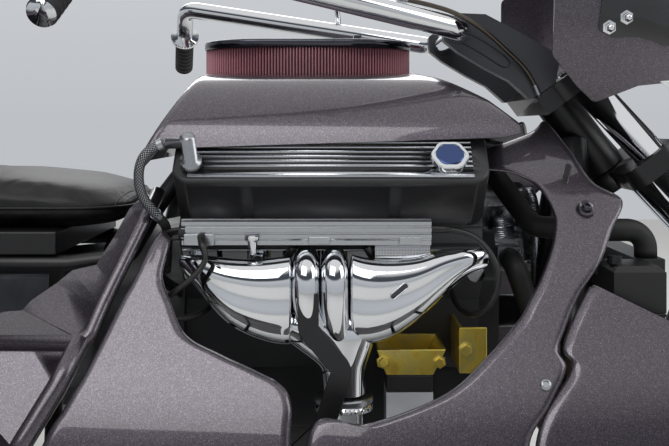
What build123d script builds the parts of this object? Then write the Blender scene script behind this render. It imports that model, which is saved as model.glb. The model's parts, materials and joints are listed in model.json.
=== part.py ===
from build123d import *
import os
from math import cos, radians, sin, tan, pi

# Motorized trike: V8 engine open to view between a raked fork and two rear wheels.
# Millimetres. +X forward, +Y to the rider's left, +Z up. The floor is Z = 0, the engine's centre X = 0.

# Middle of the length, where the exported parts have X = 0
middle_x = -203

# Wheels
front_tyre_r = 335
front_tyre_w = 130
front_rim_r = 222
rear_axle_x = -1250
rear_tyre_r = 350
rear_tyre_w = 270
rear_rim_r = 208
rear_track = 1320
hub_gap = 5
tyre_sides = 60

# Steering: neck axis, leg angle against it and the clamps along it
neck_foot_x = 520
neck_foot_z = 734
neck_rake = 37
leg_splay = 6
clamp_spacing = 200
clamp_height = 36
leg_y = 110
leg_r = 29
leg_offset = 60
stem_r = 18
stem_gap = 0.05
neck_r = 38

# Engine: crank height, banks, lengths along X
crank_z = 483
bank_tilt = 45
block_x = (-255, 250)
head_x = (-250, 239)
cover_x = (-252, 241)
deck = 229
cover_base = 325
cover_height = 107
cover_width = 121
head_out = 78
head_in = 70
pan_rail = 70
block_half = 150
bell_length = 160
front_x = 290

# Frame tubes
pivot_x = -940
rail_y = 250
rail_z = 270
rail_r = 28
top_rail_y = 215
top_rail_z = 600
top_rail_r = 16
pivot_tube_r = 24
shelf_tube_r = 13
strut_r = 14

# Rear axle, and the trunk and fenders that follow the rear wheels
axle_z = rear_tyre_r
axle_end = rear_track / 2 - 140
trunk_x = (rear_axle_x - 450, rear_axle_x + 385)
trunk_y = rear_track / 2 - rear_tyre_w / 2 - 55
trunk_z = (420, 780)
fender_r = rear_tyre_r + 38
fender_y = rear_track / 2 + rear_tyre_w / 2 + 20
fender_open_r = rear_tyre_r - 30

# Body
skin = 5
filter_centre_x = -50
filter_length = 385
filter_width = 230
filter_base_z = 906
filter_plate = 8
filter_height = 57
lid_height = 14
pleat_pitch = 7.4
pleat_depth = 8

# Handlebar
bar_r = 19
riser_y = 130
bar_x = 215
bar_z = 992

# Cross section of the body sides: half width, height
side_section = [
    (60, 880), (95, 850), (300, 705), (420, 520), (490, 390), (530, 250), (540, 150), (540, 100), (0, 100),
]


def block(x, y, z):
    """Box between the low and high limits along each axis."""
    size = [high - low for low, high in (x, y, z)]
    middle = [(high + low) / 2 for low, high in (x, y, z)]
    return Pos(*middle) * Box(*size)


def rod(start, end, radius):
    run = Vector(*end) - Vector(*start)
    low = (Align.CENTER, Align.CENTER, Align.MIN)
    return Plane(origin=start, z_dir=run) * Cylinder(radius, run.length, align=low)


def bent_tube(points, bends, radius):
    path = FilletPolyline(*points, radius=bends)
    return sweep(Plane(origin=path @ 0, z_dir=path % 0) * Circle(radius), path=path)


def lead(name, points, radius):
    """Tube of a hose or wire along its route, each corner with the largest arc its runs allow."""
    runs = [Vector(*b) - Vector(*a) for a, b in zip(points, points[1:])]
    arcs = []
    for before, after in zip(runs, runs[1:]):
        half_turn = radians(before.get_angle(after)) / 2
        arcs.append(0.45 * min(before.length, after.length) / tan(half_turn))
    print(name, "smallest bend", round(min(arcs), 1), "mm, radius", radius)
    return bent_tube(points, arcs, radius)


def outline(points, round_r=0):
    if round_r:
        return make_face(FilletPolyline(*points, radius=round_r, close=True))
    return make_face(Polyline(*points, close=True))


def side_prism(points, y_low, y_high, round_r=0):
    """Points are X, Z; the prism runs across the vehicle."""
    return extrude(Plane.XZ.offset(-y_high) * outline(points, round_r), y_high - y_low)


def front_prism(points, x_low, x_high, round_r=0):
    """Points are Y, Z; the prism runs along the vehicle."""
    return extrude(Plane.YZ.offset(x_low) * outline(points, round_r), x_high - x_low)


def plan_prism(points, z_low, z_high, round_r=0):
    """Points are X, Y; the prism stands upright."""
    return extrude(Plane.XY.offset(z_low) * outline(points, round_r), z_high - z_low)


def pair(right):
    """The right hand piece and its mirror image."""
    return [right, mirror(right, about=Plane.XZ)]


def fused(shapes):
    whole = shapes[0]
    for shape in shapes[1:]:
        whole = whole + shape
    return whole


# Right bank: local x forward, local y towards the middle, local z along the bores from the crank
tilt = radians(bank_tilt)
bank = Plane(origin=(0, 0, crank_z), x_dir=(1, 0, 0), z_dir=(0, -sin(tilt), cos(tilt)))


def bank_yz(y, z):
    """Front view place, Y and Z, of a point of the right bank."""
    return (-z * sin(tilt) + y * cos(tilt), crank_z + z * cos(tilt) + y * sin(tilt))


# Steering frame: origin on the neck axis at the lower clamp, local z up the axis, local x forward
rake = radians(neck_rake)
leg_rake = radians(neck_rake + leg_splay)
# The front axle lies where the legs' axes come down to the wheel's radius
leg_drop = neck_foot_z + leg_offset * sin(rake) - front_tyre_r
front_axle_x = neck_foot_x + leg_offset * cos(rake) + leg_drop * tan(leg_rake)
neck_foot = (neck_foot_x, 0, neck_foot_z)
steer = Plane(origin=neck_foot, x_dir=(cos(rake), 0, sin(rake)), z_dir=(-sin(rake), 0, cos(rake)))


def leg_x(z):
    """Local x of the leg's axis at local height z."""
    return leg_offset - z * tan(radians(leg_splay))


def steer_point(x, y, z):
    return (steer.origin.X + x * cos(rake) - z * sin(rake), y, steer.origin.Z + x * sin(rake) + z * cos(rake))


def engine_block():
    rim = 72
    half = [(0, crank_z - pan_rail), (-block_half, crank_z - pan_rail), (-block_half, crank_z + 48)]
    half += [bank_yz(-rim, deck), bank_yz(rim, deck)]
    valley = (0, bank_yz(rim, deck)[1] + bank_yz(rim, deck)[0])
    points = half + [valley] + [(-y, z) for y, z in reversed(half[1:])]
    body = front_prism(points, *block_x)
    lid = [(-110, 420), (110, 420), (120, 560), (60, 640), (-60, 640), (-120, 560)]
    front = front_prism(lid, block_x[1], front_x, 12)
    low = (Align.CENTER, Align.CENTER, Align.MIN)
    bell = Plane(origin=(block_x[0], 0, crank_z), z_dir=(-1, 0, 0)) * Cone(185, 150, bell_length, align=low)
    pan = block((-245, 235), (-130, 130), (300, crank_z - pan_rail))
    pan += block((-245, 20), (-105, 105), (258, 300))
    return body + front + bell + fillet(pan.edges().filter_by(Axis.X), 8)


def cylinder_heads():
    section = [(-head_in, deck), (head_in, deck), (head_in, 300), (cover_width / 2, cover_base)]
    section += [(-cover_width / 2, cover_base), (-cover_width / 2, 318), (-head_out, 300), (-head_out, 240)]
    face = Plane.YZ.offset(head_x[0]) * outline(section)
    return pair(bank * extrude(face, head_x[1] - head_x[0]))


# Valve cover pockets on the outer wall: first x, last x
cover_pockets = [(-228, -146), (-128, 86), (104, 218)]
# Fins on the top: local y, width
cover_fins = [(-47, 14), (-30, 5), (-20, 5), (-10, 5), (0, 5), (10, 5), (20, 5), (30, 5), (40, 5)]


def valve_covers():
    length = cover_x[1] - cover_x[0]
    middle = (cover_x[1] + cover_x[0]) / 2
    top = cover_base + cover_height
    body = Pos(middle, 0, cover_base) * extrude(RectangleRounded(length, cover_width, 28), cover_height)
    body = fillet(body.edges().group_by(Axis.Z)[-1], 5)
    for first, last in cover_pockets:
        body -= block((first, last), (-cover_width / 2 - 1, -cover_width / 2 + 4), (cover_base + 14, top - 14))
    for y, width in cover_fins:
        body += block((cover_x[0] + 26, cover_x[1] - 26), (y - width / 2, y + width / 2), (top - 1, top + 4))
    return pair(bank * body)


cap_x = 178
cap_y = -26
cap_r = 29
cap_height = 22


def oil_cap():
    top = cover_base + cover_height + 4
    cap = Cylinder(cap_r, cap_height, align=(Align.CENTER, Align.CENTER, Align.MIN))
    cap = fillet(cap.edges().group_by(Axis.Z)[-1], 4)
    return bank * (Pos(cap_x, cap_y, top) * cap)


breather_x = -222
breather_y = -30


def breather():
    top = cover_base + cover_height + 4
    can = rod((breather_x, breather_y, top), (breather_x, breather_y, top + 12), 17)
    can += rod((breather_x, breather_y, top + 12), (breather_x, breather_y, top + 62), 11.5)
    can += rod((breather_x, breather_y, top + 48), (breather_x - 34, breather_y, top + 48), 8)
    return bank * can


def intake_manifold():
    foot = bank_yz(head_in, deck + 4)
    brow = bank_yz(head_in, 300)
    half = [foot, brow, (-100, 768), (-90, 790)]
    body = front_prism(half + [(-y, z) for y, z in reversed(half)], -225, 225)
    plenum = block((-130, 30), (-80, 80), (790, 890))
    throat = rod((filter_centre_x, 0, 890), (filter_centre_x, 0, filter_base_z), 65)
    dish = Pos(0, 0, filter_base_z) * extrude(oval(-2), filter_plate)
    return body + plenum + throat + dish


def oval(grow=0):
    """Plan of the air cleaner, a slot with round ends."""
    return Pos(filter_centre_x, 0) * SlotOverall(filter_length + 2 * grow, filter_width + 2 * grow)


def air_filter_element():
    """Pleated band: ridge and valley points by turns round the oval."""
    radius = filter_width / 2 - 4
    straight = filter_length - filter_width
    girth = 2 * straight + 2 * pi * radius
    count = round(girth / pleat_pitch)
    points = []
    for step in range(2 * count):
        inset = 0 if step % 2 == 0 else pleat_depth
        reach = radius - inset
        along = girth * step / (2 * count)
        if along < straight:
            points.append((along - straight / 2, -reach))
        elif along < straight + pi * radius:
            turn = (along - straight) / radius
            points.append((straight / 2 + reach * sin(turn), -reach * cos(turn)))
        elif along < 2 * straight + pi * radius:
            points.append((straight / 2 - (along - straight - pi * radius), reach))
        else:
            turn = (along - 2 * straight - pi * radius) / radius
            points.append((-straight / 2 - reach * sin(turn), reach * cos(turn)))
    low = filter_base_z + filter_plate
    return Pos(filter_centre_x, 0) * plan_prism(points, low, low + filter_height)


def air_filter_lid():
    low = filter_base_z + filter_plate + filter_height
    lid = Pos(0, 0, low) * extrude(oval(), lid_height)
    lid = fillet(lid.edges().group_by(Axis.Z)[-1], 5)
    nut_x = 43
    lid += rod((nut_x, 0, low + lid_height - 1), (nut_x, 0, low + lid_height + 3), 13)
    lid += rod((nut_x, 0, low + lid_height + 3), (nut_x, 0, low + lid_height + 15), 8)
    return lid


# Header lobes: x, centre y, centre z, depth, height, corner radius
rear_lobe = [
    (-236, -290, 618, 30, 30, 12), (-190, -306, 578, 56, 86, 24),
    (-130, -313, 553, 74, 126, 34), (-64, -314, 553, 78, 138, 36),
]
front_lobe = [
    (236, -288, 618, 30, 30, 12), (180, -304, 600, 52, 66, 22),
    (115, -313, 563, 72, 112, 32), (21, -315, 553, 78, 140, 36),
]
centre_pipes = [-44, 0]
pipe_r = 21
collector_x = 14
collector_y = -318
collector_z = 455
collector_foot = 400
collector_r = 34
flange_r = 46


def lobe(sections):
    """One wide pipe of the header, from its port's side down to the middle."""
    faces = []
    for x, y, z, depth, height, corner in sections:
        across = Plane(origin=(x, y, z), x_dir=(0, 1, 0), z_dir=(1, 0, 0))
        faces.append(across * RectangleRounded(depth, height, corner))
    return loft(faces)


def headers():
    """Chrome header: two wide lobes from the outer ports and two pipes between them, meeting at the collector."""
    body = bank * block((head_x[0] + 4, head_x[1] - 4), (-head_out - 8, -head_out), (246, 294))
    for sections in (rear_lobe, front_lobe):
        body += lobe(sections)
        for x, y, z, depth, _, _ in (sections[0], sections[2]):
            body += rod((0.95 * x, -244, 612), (0.95 * x, y, z + 0.5 * (612 - z)), depth / 2 - 1)
    for x in centre_pipes:
        route = [(x, -250, 612), (x, -330, 612), (x, -330, 520), (collector_x, collector_y, collector_z - 5)]
        body += bent_tube(route, [28, 20], pipe_r)
    wide = Plane.XY.offset(512) * (Pos(-18, -316) * RectangleRounded(150, 70, 33))
    mouth = RectangleRounded(2 * collector_r, 2 * collector_r, collector_r - 1)
    narrow = Plane.XY.offset(collector_z) * (Pos(collector_x, collector_y) * mouth)
    body += loft([wide, narrow], ruled=True)
    foot = collector_foot
    body += rod((collector_x, collector_y, foot), (collector_x, collector_y, collector_z), collector_r)
    body += rod((collector_x, collector_y, foot), (collector_x, collector_y, foot + 10), flange_r)
    return pair(body - bank * block((-300, 300), (-head_out, 150), (100, 450)))


muffler_r = 55
pipe_low_z = 215


def exhaust_pipes():
    top = collector_foot
    flange = rod((collector_x, collector_y, top - 10), (collector_x, collector_y, top), flange_r)
    route = [(collector_x, collector_y, top - 10), (collector_x, -330, 232), (-900, -370, pipe_low_z)]
    run = bent_tube(route, [90], 30)
    can = rod((-880, -369, pipe_low_z + 1), (-1560, -392, pipe_low_z + 1), muffler_r)
    tip = rod((-1560, -392, pipe_low_z + 1), (-1690, -396, pipe_low_z + 1), 34)
    bore = rod((-1600, -393, pipe_low_z + 1), (-1700, -396.5, pipe_low_z + 1), 30)
    return pair(fused([flange, run, can, tip]) - bore)


loom_z = (643, 684)
loom_y = (-316, -292)
loom_x = (-240, 152)


def wire_looms():
    bar = block(loom_x, loom_y, loom_z)
    for step in range(3):
        z = loom_z[0] + 10 + 10 * step
        bar -= block(loom_x, (loom_y[0] - 1, loom_y[0] + 3), (z - 2, z + 2))
    face = -(head_out * cos(tilt) + 300 * sin(tilt)) - 0.7
    for x in (-200, -44, 120):
        bar += rod((x, face, 652), (x, loom_y[1], 652), 7)
    knob_x = -129
    bar += rod((knob_x, loom_y[0] + 1, 652), (knob_x, loom_y[0] - 16, 652), 9)
    return pair(bar)


# Plug wires on the right side: loops round the header's ends, short ones over its top
wire_r = 4.5
wire_routes = [
    [
        (-208, -318.1, 657), (-204, -338, 648), (-196, -345, 622), (-218, -352, 596), (-254, -352, 570),
        (-268, -338, 548), (-250, -318, 526), (-204, -290, 532), (-191, -250, 556), (-190, -219, 594),
    ],
    [(-64, -304, 640.2), (-74, -296, 624), (-78, -258.7, 614.1)],
    [(50, -304, 640.2), (60, -297, 624), (64, -258.7, 614.1)],
    [
        (152.3, -304, 668), (190, -305, 668), (226, -316, 655), (250, -332, 622), (254, -340, 584),
        (240, -335, 550), (216, -308, 530), (198, -270, 538), (190, -240, 562), (188, -219, 594),
    ],
]


def plug_wires():
    wires = [lead(f"plug wire {k}", route, wire_r) for k, route in enumerate(wire_routes)]
    return [half for wire in wires for half in pair(wire)]


# Vent hose from the breather's elbow, down behind the right head to its open end
hose_route = [
    (-258.4, -363.5, 804), (-284, -363, 795), (-300, -358, 764), (-297, -347, 722),
    (-277, -325, 692), (-267, -290, 672), (-270, -255, 640), (-276, -240, 590),
]
braid_r = 6.5


def breather_hose():
    return lead("breather hose", hose_route, braid_r)


cable_r = 4
# From the right half of the bar, round the riser to the upper clamp's side
cable_route = [
    (104, -240, 1040), (150, -229, 1032.5), (205, -217, 1017.5), (254, -198, 990), (296, -176, 956),
    (328, -158, 930), (346, -152.2, 902), (354, -152.2, 880),
]


def control_cable():
    return lead("control cable", cable_route, cable_r)


stay_width = 32
stay_route = [
    (-40, -355, 575), (-40, -358, 520), (12, -374, 462), (-18, -374, 372), (-56, -352, 330), (-60, -250, 270),
]


def header_stay():
    """Flat bar from the header's centre pipe down to the frame rail."""
    path = FilletPolyline(*stay_route, radius=18)
    flat = Plane(origin=path @ 0, x_dir=(1, 0, 0), z_dir=path % 0) * Rectangle(stay_width, 7)
    return sweep(flat, path=path, transition=Transition.ROUND) - low_rail()


bracket_x = (67, 179)
rubber_x = (83, 158)
mount_y = (-278, -205)
bracket_z = (431, 472)
rubber_z = (403, 431)


def engine_mounts():
    low, high = bracket_z
    points = [(bracket_x[0], high), (bracket_x[1], high), (rubber_x[1], low), (rubber_x[0], low)]
    bracket = side_prism(points, mount_y[0], -block_half)
    bracket -= side_prism([(x, z + 8) for x, z in points], mount_y[0] + 6, -block_half - 6)
    plate = block((201, 246), (-268, -262), (431, 505)) + block((201, 207), (-262, -block_half), (431, 505))
    return pair(bracket) + pair(plate)


def mount_rubbers():
    return pair(block(rubber_x, mount_y, rubber_z))


def mount_pedestals():
    post = block(rubber_x, mount_y, (rail_z, rubber_z[0]))
    return pair(post - rod((0, -rail_y, rail_z), (300, -rail_y, rail_z), rail_r))


pulley_x = 362
# Pulleys in the belt's plane: y, z, radius
pulleys = [(0, 483, 75), (0, 640, 68), (185, 650, 34)]
belt_width = 14
belt_thick = 7


def belt_disc(grow):
    """Flat plate in the belt's plane, round all pulleys."""
    edges = [edge for y, z, r in pulleys for edge in (Pos(y, z) * Circle(r + grow)).edges()]
    return extrude(Plane.YZ.offset(pulley_x - belt_width / 2) * make_hull(edges), belt_width)


def belt_drive():
    """Pump, pulleys and the belt round them."""
    wheels = [rod((pulley_x - 12, y, z), (pulley_x + 12, y, z), r) for y, z, r in pulleys]
    belt = belt_disc(belt_thick) - belt_disc(-0.5)
    hubs = [rod((290, 0, 483), (pulley_x, 0, 483), 30)]
    hubs += [rod((290, 0, 610), (330, 0, 610), 52), rod((330, 0, 640), (pulley_x, 0, 640), 24)]
    hubs += [block((290, 330), (-105, 105), (575, 615)), rod((330, 0, 640), (290, 0, 640), 40)]
    return fused(wheels + [belt] + hubs)


def alternator():
    _, _, r = pulleys[2]
    y, z = pulleys[2][:2]
    body = rod((262, y, z), (345, y, z), 62)
    body = fillet(body.edges().filter_by(GeomType.CIRCLE), 8)
    return body + block((head_x[1], 264), (y - 20, y + 20), (z - 2, z + 40))


radiator_x = (500, 548)
radiator_y = 225
radiator_z = (rail_z + 0.3, 610)


def radiator():
    core = block(radiator_x, (-radiator_y, radiator_y), radiator_z)
    face_x = (radiator_x[1] - 8, radiator_x[1])
    face_z = (radiator_z[0] + 40, radiator_z[1] - 45)
    core -= block(face_x, (-radiator_y + 22, radiator_y - 22), face_z)
    bars = []
    for step in range(14):
        y = -195 + 30 * step
        bars.append(block(face_x, (y - 2, y + 2), face_z))
    shroud = rod((radiator_x[0] - 26, 0, 430), (radiator_x[0], 0, 430), 150)
    shroud -= rod((radiator_x[0] - 27, 0, 430), (radiator_x[0] - 8, 0, 430), 144)
    shelf = block((425, 505), (-362, -radiator_y), (539, 545))
    return fused([core] + bars + [shroud, shelf])


def coolant_tank():
    tank = block((425, 505), (-360, -262), (545.3, 616))
    tank = chamfer(tank.edges().group_by(Axis.Z)[-1], 9)
    return tank + rod((437, -318, 615), (437, -318, 628), 11)


hose_r = 19


def coolant_hoses():
    core_x = (radiator_x[0] + radiator_x[1]) / 2
    top = radiator_z[1] + 0.3
    upper = [(225.3, -45, 752), (285, -45, 752), (345, -140, 655)]
    upper += [(450, -195, 655), (core_x, -195, 655), (core_x, -195, top)]
    lower = [(310, -105.3, 595), (310, -150, 595), (400, -150, 340)]
    lower += [(440, -190, 305), (radiator_x[0] - 0.3, -190, 305)]
    return [bent_tube(upper, [30, 40, 60, 32], hose_r), bent_tube(lower, [25, 30, 30], hose_r)]


# Gearbox sections: x, drop below the crank, width, height
gearbox_tail_x = -930
gearbox_sections = [(-415, 0, 250, 240), (-640, 8, 200, 220), (gearbox_tail_x, 15, 130, 150)]
nose_length = 130
nose_rise = 30


def gearbox():
    faces = []
    for x, drop, width, height in gearbox_sections:
        across = Plane(origin=(x, 0, crank_z - drop), x_dir=(0, 1, 0), z_dir=(-1, 0, 0))
        faces.append(across * RectangleRounded(width, height, 30))
    case = loft(faces, ruled=True)
    pan = block((-720, -440), (-85, 85), (330, 370))
    nose_x = rear_axle_x + nose_length
    shaft = rod((gearbox_tail_x, 0, crank_z - 15), (nose_x - 20, 0, axle_z + nose_rise), 32)
    return case + pan + (shaft - axle_nose())


def axle_nose():
    start = (rear_axle_x + 60, 0, axle_z + nose_rise / 2)
    return rod(start, (rear_axle_x + nose_length, 0, axle_z + nose_rise), 60)


axle_tube_r = 38
stub_r = 20
stub_gap = 0.05
stub_depth = 70


def rear_axle():
    """Differential housing, axle tube and brake plates, with a bore for each wheel's stub shaft."""
    housing = fillet(rod((rear_axle_x, -70, axle_z), (rear_axle_x, 70, axle_z), 118).edges(), 30)
    tube = rod((rear_axle_x, -axle_end, axle_z), (rear_axle_x, axle_end, axle_z), axle_tube_r)
    body = housing + axle_nose() + tube
    for side in (-1, 1):
        end = side * axle_end
        body += rod((rear_axle_x, end - side * 8, axle_z), (rear_axle_x, end, axle_z), 126)
        deep = end - side * (stub_depth + 10)
        body -= rod((rear_axle_x, end + side, axle_z), (rear_axle_x, deep, axle_z), stub_r + stub_gap)
    return body


spring_foot = (rear_axle_x - 28, -300, axle_z + 32)
spring_top = (rear_axle_x, -260, top_rail_z - 8)
spring_turns = 7


def rear_suspension():
    """Trailing arms and spring units, cut to their seats on the axle and the frame tubes."""
    axle = rod((rear_axle_x, -400, axle_z), (rear_axle_x, -200, axle_z), axle_tube_r + 0.2)
    pivot = rod((pivot_x, -400, rail_z), (pivot_x, -200, rail_z), pivot_tube_r + 0.2)
    rail = rod((pivot_x - 60, -rail_y, rail_z), (pivot_x + 60, -rail_y, rail_z), rail_r + 0.2)
    shelf = rod((rear_axle_x, -400, top_rail_z), (rear_axle_x, 0, top_rail_z), top_rail_r + 0.2)
    arm_y = -rail_y - rail_r - 22
    route = [(pivot_x - 5, arm_y, rail_z), (pivot_x - 110, arm_y, rail_z + 20), (rear_axle_x, arm_y, axle_z - 10)]
    arm = bent_tube(route, 80, 22)
    eye = rod((pivot_x, arm_y - 20, rail_z), (pivot_x, arm_y + 21.8, rail_z), 30)
    unit = rod(spring_foot, spring_top, 26)
    run = Vector(*spring_top) - Vector(*spring_foot)
    for turn in range(spring_turns):
        middle = Vector(*spring_foot) + run * (0.16 + 0.1 * turn)
        unit += Plane(origin=middle, z_dir=run) * Cylinder(39, 10)
    return pair(arm + eye - axle - rail) + pair(unit - axle - shelf)


bracket_rod_x = (-600, -250, 200, 350)
tub_front_x = -500
# How far the tub's walls lie inside the other side panels' skin
wall_recess = Pos(0, 8.4, -5.5)


def side_inner():
    """Space inside the body side skin, right side."""
    section = [(-y, z) for y, z in side_section]
    return extrude(Plane.YZ.offset(-1000) * (Pos(skin + 0.3, -skin - 0.3) * outline(section)), 1600)


strut_x = (-460, -920)
neck_low = clamp_height / 2 + 3
neck_high = clamp_spacing - clamp_height / 2 - 3


def neck_tube():
    return steer * rod((0, 0, neck_low), (0, 0, neck_high), neck_r)


def low_rail():
    return bent_tube([(pivot_x, -rail_y, rail_z), (400, -rail_y, rail_z), (440, -30, 800)], [110], rail_r)


def high_rail():
    front = [(436, -50, 752), (260, -120, 795), (-228, -120, 800)]
    front += [(-312, -120, 690), (-345, -top_rail_y, 612)]
    rear = [(-440, -top_rail_y, top_rail_z), (trunk_x[0] + 200, -top_rail_y, top_rail_z)]
    return bent_tube(front + rear, [60, 40, 30, 30, 40], top_rail_r)


def frame():
    """Lower rails up to the steering head, with the arms of the foot boards and the stays of the body sides."""
    board_arm = bent_tube([(360, -rail_y, rail_z), (520, -300, 290), (730, -345, 313)], 60, 16)
    rail = low_rail() + board_arm
    inner = side_inner()
    for x in bracket_rod_x:
        space = inner if x > tub_front_x else wall_recess * inner
        rail += rod((x, -rail_y, 285), (x, -600, 285), 8) & space
    return pair(rail - neck_tube())


def steering_head():
    return neck_tube() - steer * rod((0, 0, neck_low - 5), (0, 0, neck_high + 5), stem_r + stem_gap)


def top_rails():
    """Upper rails round the engine, carried by struts on the lower rails."""
    rail = high_rail()
    for x in strut_x:
        rail += rod((x, -rail_y, rail_z), (x, -top_rail_y, top_rail_z), strut_r)
    return pair(rail - low_rail())


def cross_tubes():
    """Tubes between the rails, cut to the rails' surface, with the radiator's tray on the front one."""
    low = fused(frame())
    high = fused(pair(high_rail()))
    low_places = ((400, rail_z, 20), (-330, rail_z - 8, 20), (pivot_x, rail_z, pivot_tube_r))
    tubes = [rod((x, -rail_y, z), (x, rail_y, z), r) for x, z, r in low_places]
    tubes[0] += block((400, radiator_x[1]), (-200, 200), (rail_z - 8, rail_z))
    tubes = [(tube - low).solids().sort_by(SortBy.VOLUME)[-1] for tube in tubes]
    for x in (pivot_x - 60, rear_axle_x, trunk_x[0] + 220):
        tubes.append(rod((x, -top_rail_y, top_rail_z), (x, top_rail_y, top_rail_z), shelf_tube_r) - high)
    return tubes


# Tank cover seen from the side, X and Z, and from the front, Y and Z
tank_side = [
    (-309, 752), (-309, 775), (-222, 930), (140, 930), (200, 900), (250, 872),
    (292, 836), (292, 818), (262, 812), (-272, 795), (-288, 775),
]
tank_half = [(0, 925), (150, 922), (222, 903), (292, 850), (318, 797), (322, 700)]


def tank_form(wall):
    section = [(-y, z) for y, z in reversed(tank_half)] + [(y, z) for y, z in tank_half[1:]]
    across = offset(outline(section), -wall) if wall else outline(section)
    along = offset(outline(tank_side), -wall) if wall else outline(tank_side)
    body = extrude(Plane.YZ.offset(-400) * across, 800)
    cut = extrude(Plane.XZ.offset(-400) * along, 800)
    if wall:
        cut += Pos(0, 0, -50) * cut
    return body & cut


def tank_shell():
    hole = Pos(0, 0, 880) * extrude(oval(8), 80)
    under = block((tank_side[0][0] + skin, 0), (-290, 290), (700, 800))
    return tank_form(0) - tank_form(skin) - hole - under


def side_band(wall=skin):
    """Body side skin as a band of constant section, right side."""
    section = [(-y, z) for y, z in side_section]
    outer = outline(section)
    inner = Pos(wall, -wall) * outline(section)
    return extrude(Plane.YZ.offset(-1000) * (outer - inner), 1600)


def side_panel_from(points, round_r):
    return side_band() & side_prism(points, -600, -62, round_r)


# Outlines of the side pieces on the skin: X, Z
arm_outline = [
    (250, 788), (342, 819), (368, 839), (395, 800), (420, 740), (462, 712), (433, 670), (406, 622), (369, 578),
    (326, 505), (336, 480), (273, 386), (262, 180), (-40, 180), (-40, 400), (50, 411), (158, 448), (225, 498),
    (274, 544), (310, 597), (338, 654), (345, 683), (337, 715), (307, 745), (250, 757),
]
cowl_outline = [
    (392, 591), (494, 546), (560, 510), (560, 300), (420, 180), (268, 180), (279, 386),
    (342, 480), (332, 505), (375, 578),
]
panel_outline = [
    (-254, 650), (-260, 604), (-246, 570), (-219, 524), (-166, 498), (-114, 477), (-74, 460), (-60, 440),
    (-62, 393), (-62, 180), (-480, 180), (-408, 386), (-391, 419), (-369, 454), (-348, 500), (-328, 549),
    (-305, 595), (-283, 648), (-274, 664), (-262, 668),
]
wall_outline = [
    (-850, 557), (-496, 557), (-467, 560), (-455, 574), (-422, 597), (-402, 614), (-366, 622), (-345, 661),
    (-325, 705), (-305, 728), (-290, 716), (-300, 680), (-345, 566), (-362, 516), (-850, 516),
]
low_wall_outline = [(-850, 510), (-388, 510), (-398, 470), (-437, 386), (-521, 190), (-850, 200)]


boss_place = (395, -309, 698)
hook_slot = (380, 752)


def side_arms():
    """Arm that curves round the engine, with a round boss and a hook slot, and the cowl below the radiator."""
    arm = side_panel_from(arm_outline, 6)
    arm += Plane(origin=boss_place, z_dir=(0, -0.84, 0.545)) * Cylinder(13, 14)
    x, z = hook_slot
    arm -= Plane(origin=(x, -150, z), z_dir=(0, -1, 0)) * (Rot(0, 0, 60) * extrude(SlotOverall(34, 9), 200))
    return pair(arm) + pair(side_panel_from(cowl_outline, 8))


def side_panels():
    return pair(side_panel_from(panel_outline, 6))


# Rolled rim and front post of the tub on the right side
rim_route = [(-284, -265, 724), (-298, -309, 683), (-346, -384, 563), (-362, -418, 514)]
rim_route += [(trunk_x[1] + 15, -418, 517)]
rim_r = 11
post_route = [(-370, -414, 520), (-398, -446, 456), (-438, -482, 384), (-497, -520, 250), (-521, -528, 190)]
post_r = 15


def tub_sides():
    """Recessed walls of the tub between a rolled rim and a rounded post."""
    upper = wall_recess * side_panel_from(wall_outline, 3)
    lower = wall_recess * side_panel_from(low_wall_outline, 3)
    rolled = bent_tube(rim_route, [40, 60, 22], rim_r)
    post = bent_tube(post_route, [60, 60, 60], post_r)
    return pair(upper + rolled + post + lower)


def rear_tub():
    """Trunk shell, open below, with the top rails and the propeller shaft through its front wall."""
    body = block(trunk_x, (-trunk_y, trunk_y), trunk_z)
    body = fillet(body.edges().filter_by(Axis.Z) + body.edges().group_by(Axis.Z)[-1], 50)
    inner_x = (trunk_x[0] + skin, trunk_x[1] - skin)
    inner = block(inner_x, (skin - trunk_y, trunk_y - skin), (trunk_z[0] - 1, trunk_z[1] - skin))
    body -= fillet(inner.edges().filter_by(Axis.Z) + inner.edges().group_by(Axis.Z)[-1], 50 - skin)
    for side in (-1, 1):
        y = side * top_rail_y
        body -= rod((trunk_x[1] - 50, y, top_rail_z), (trunk_x[1] + 50, y, top_rail_z), top_rail_r + 0.3)
    return body - block((trunk_x[1] - 60, trunk_x[1] + 60), (-150, 150), (trunk_z[0] - 20, 575))


def rear_fenders():
    """Arch over each rear wheel, seated on the trunk's side."""
    low = trunk_y + 0.3
    arch = rod((rear_axle_x, -low, axle_z), (rear_axle_x, -fender_y, axle_z), fender_r + skin)
    arch = fillet(arch.edges().sort_by(Axis.Y)[0], 40)
    inner = rod((rear_axle_x, 1 - low, axle_z), (rear_axle_x, skin - fender_y, axle_z), fender_r)
    arch -= fillet(inner.edges().sort_by(Axis.Y)[0], 40 - skin)
    arch -= rod((rear_axle_x, -low, axle_z), (rear_axle_x, -fender_y - 50, axle_z), fender_open_r)
    wide = (rear_axle_x - 2 * fender_r, rear_axle_x + 2 * fender_r)
    return pair(arch - block(wide, (-fender_y - 50, 0), (-fender_r, axle_z - 20)))


seat_base_z = 655


def rider_seat():
    cushion = block((-800, -340), (-200, 200), (seat_base_z + 0.3, 752))
    return fillet(cushion.edges(), 30)


def seat_pan():
    return block((-790, -460), (-228, 228), (top_rail_z + top_rail_r + 0.3, seat_base_z))


def passenger_seat():
    cushion = fillet(block((-1240, -885), (-190, 190), (trunk_z[1] + 0.3, 862)).edges(), 25)
    return cushion


def backrest():
    """Pad and the two stays that stand on the trunk behind it."""
    pad = fillet(block((-1330, -1262), (-170, 170), (880, 1130)).edges(), 25)
    for side in (-1, 1):
        y = side * 120
        pad += bent_tube([(-1345, y, trunk_z[1] + 0.2), (-1345, y, 900), (-1334, y, 1060)], 60, 8)
    return pad


def foot_boards():
    board = block((540, 760), (-400, -290), (329, 341))
    return pair(fillet(board.edges().filter_by(Axis.Z), 25))


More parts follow.
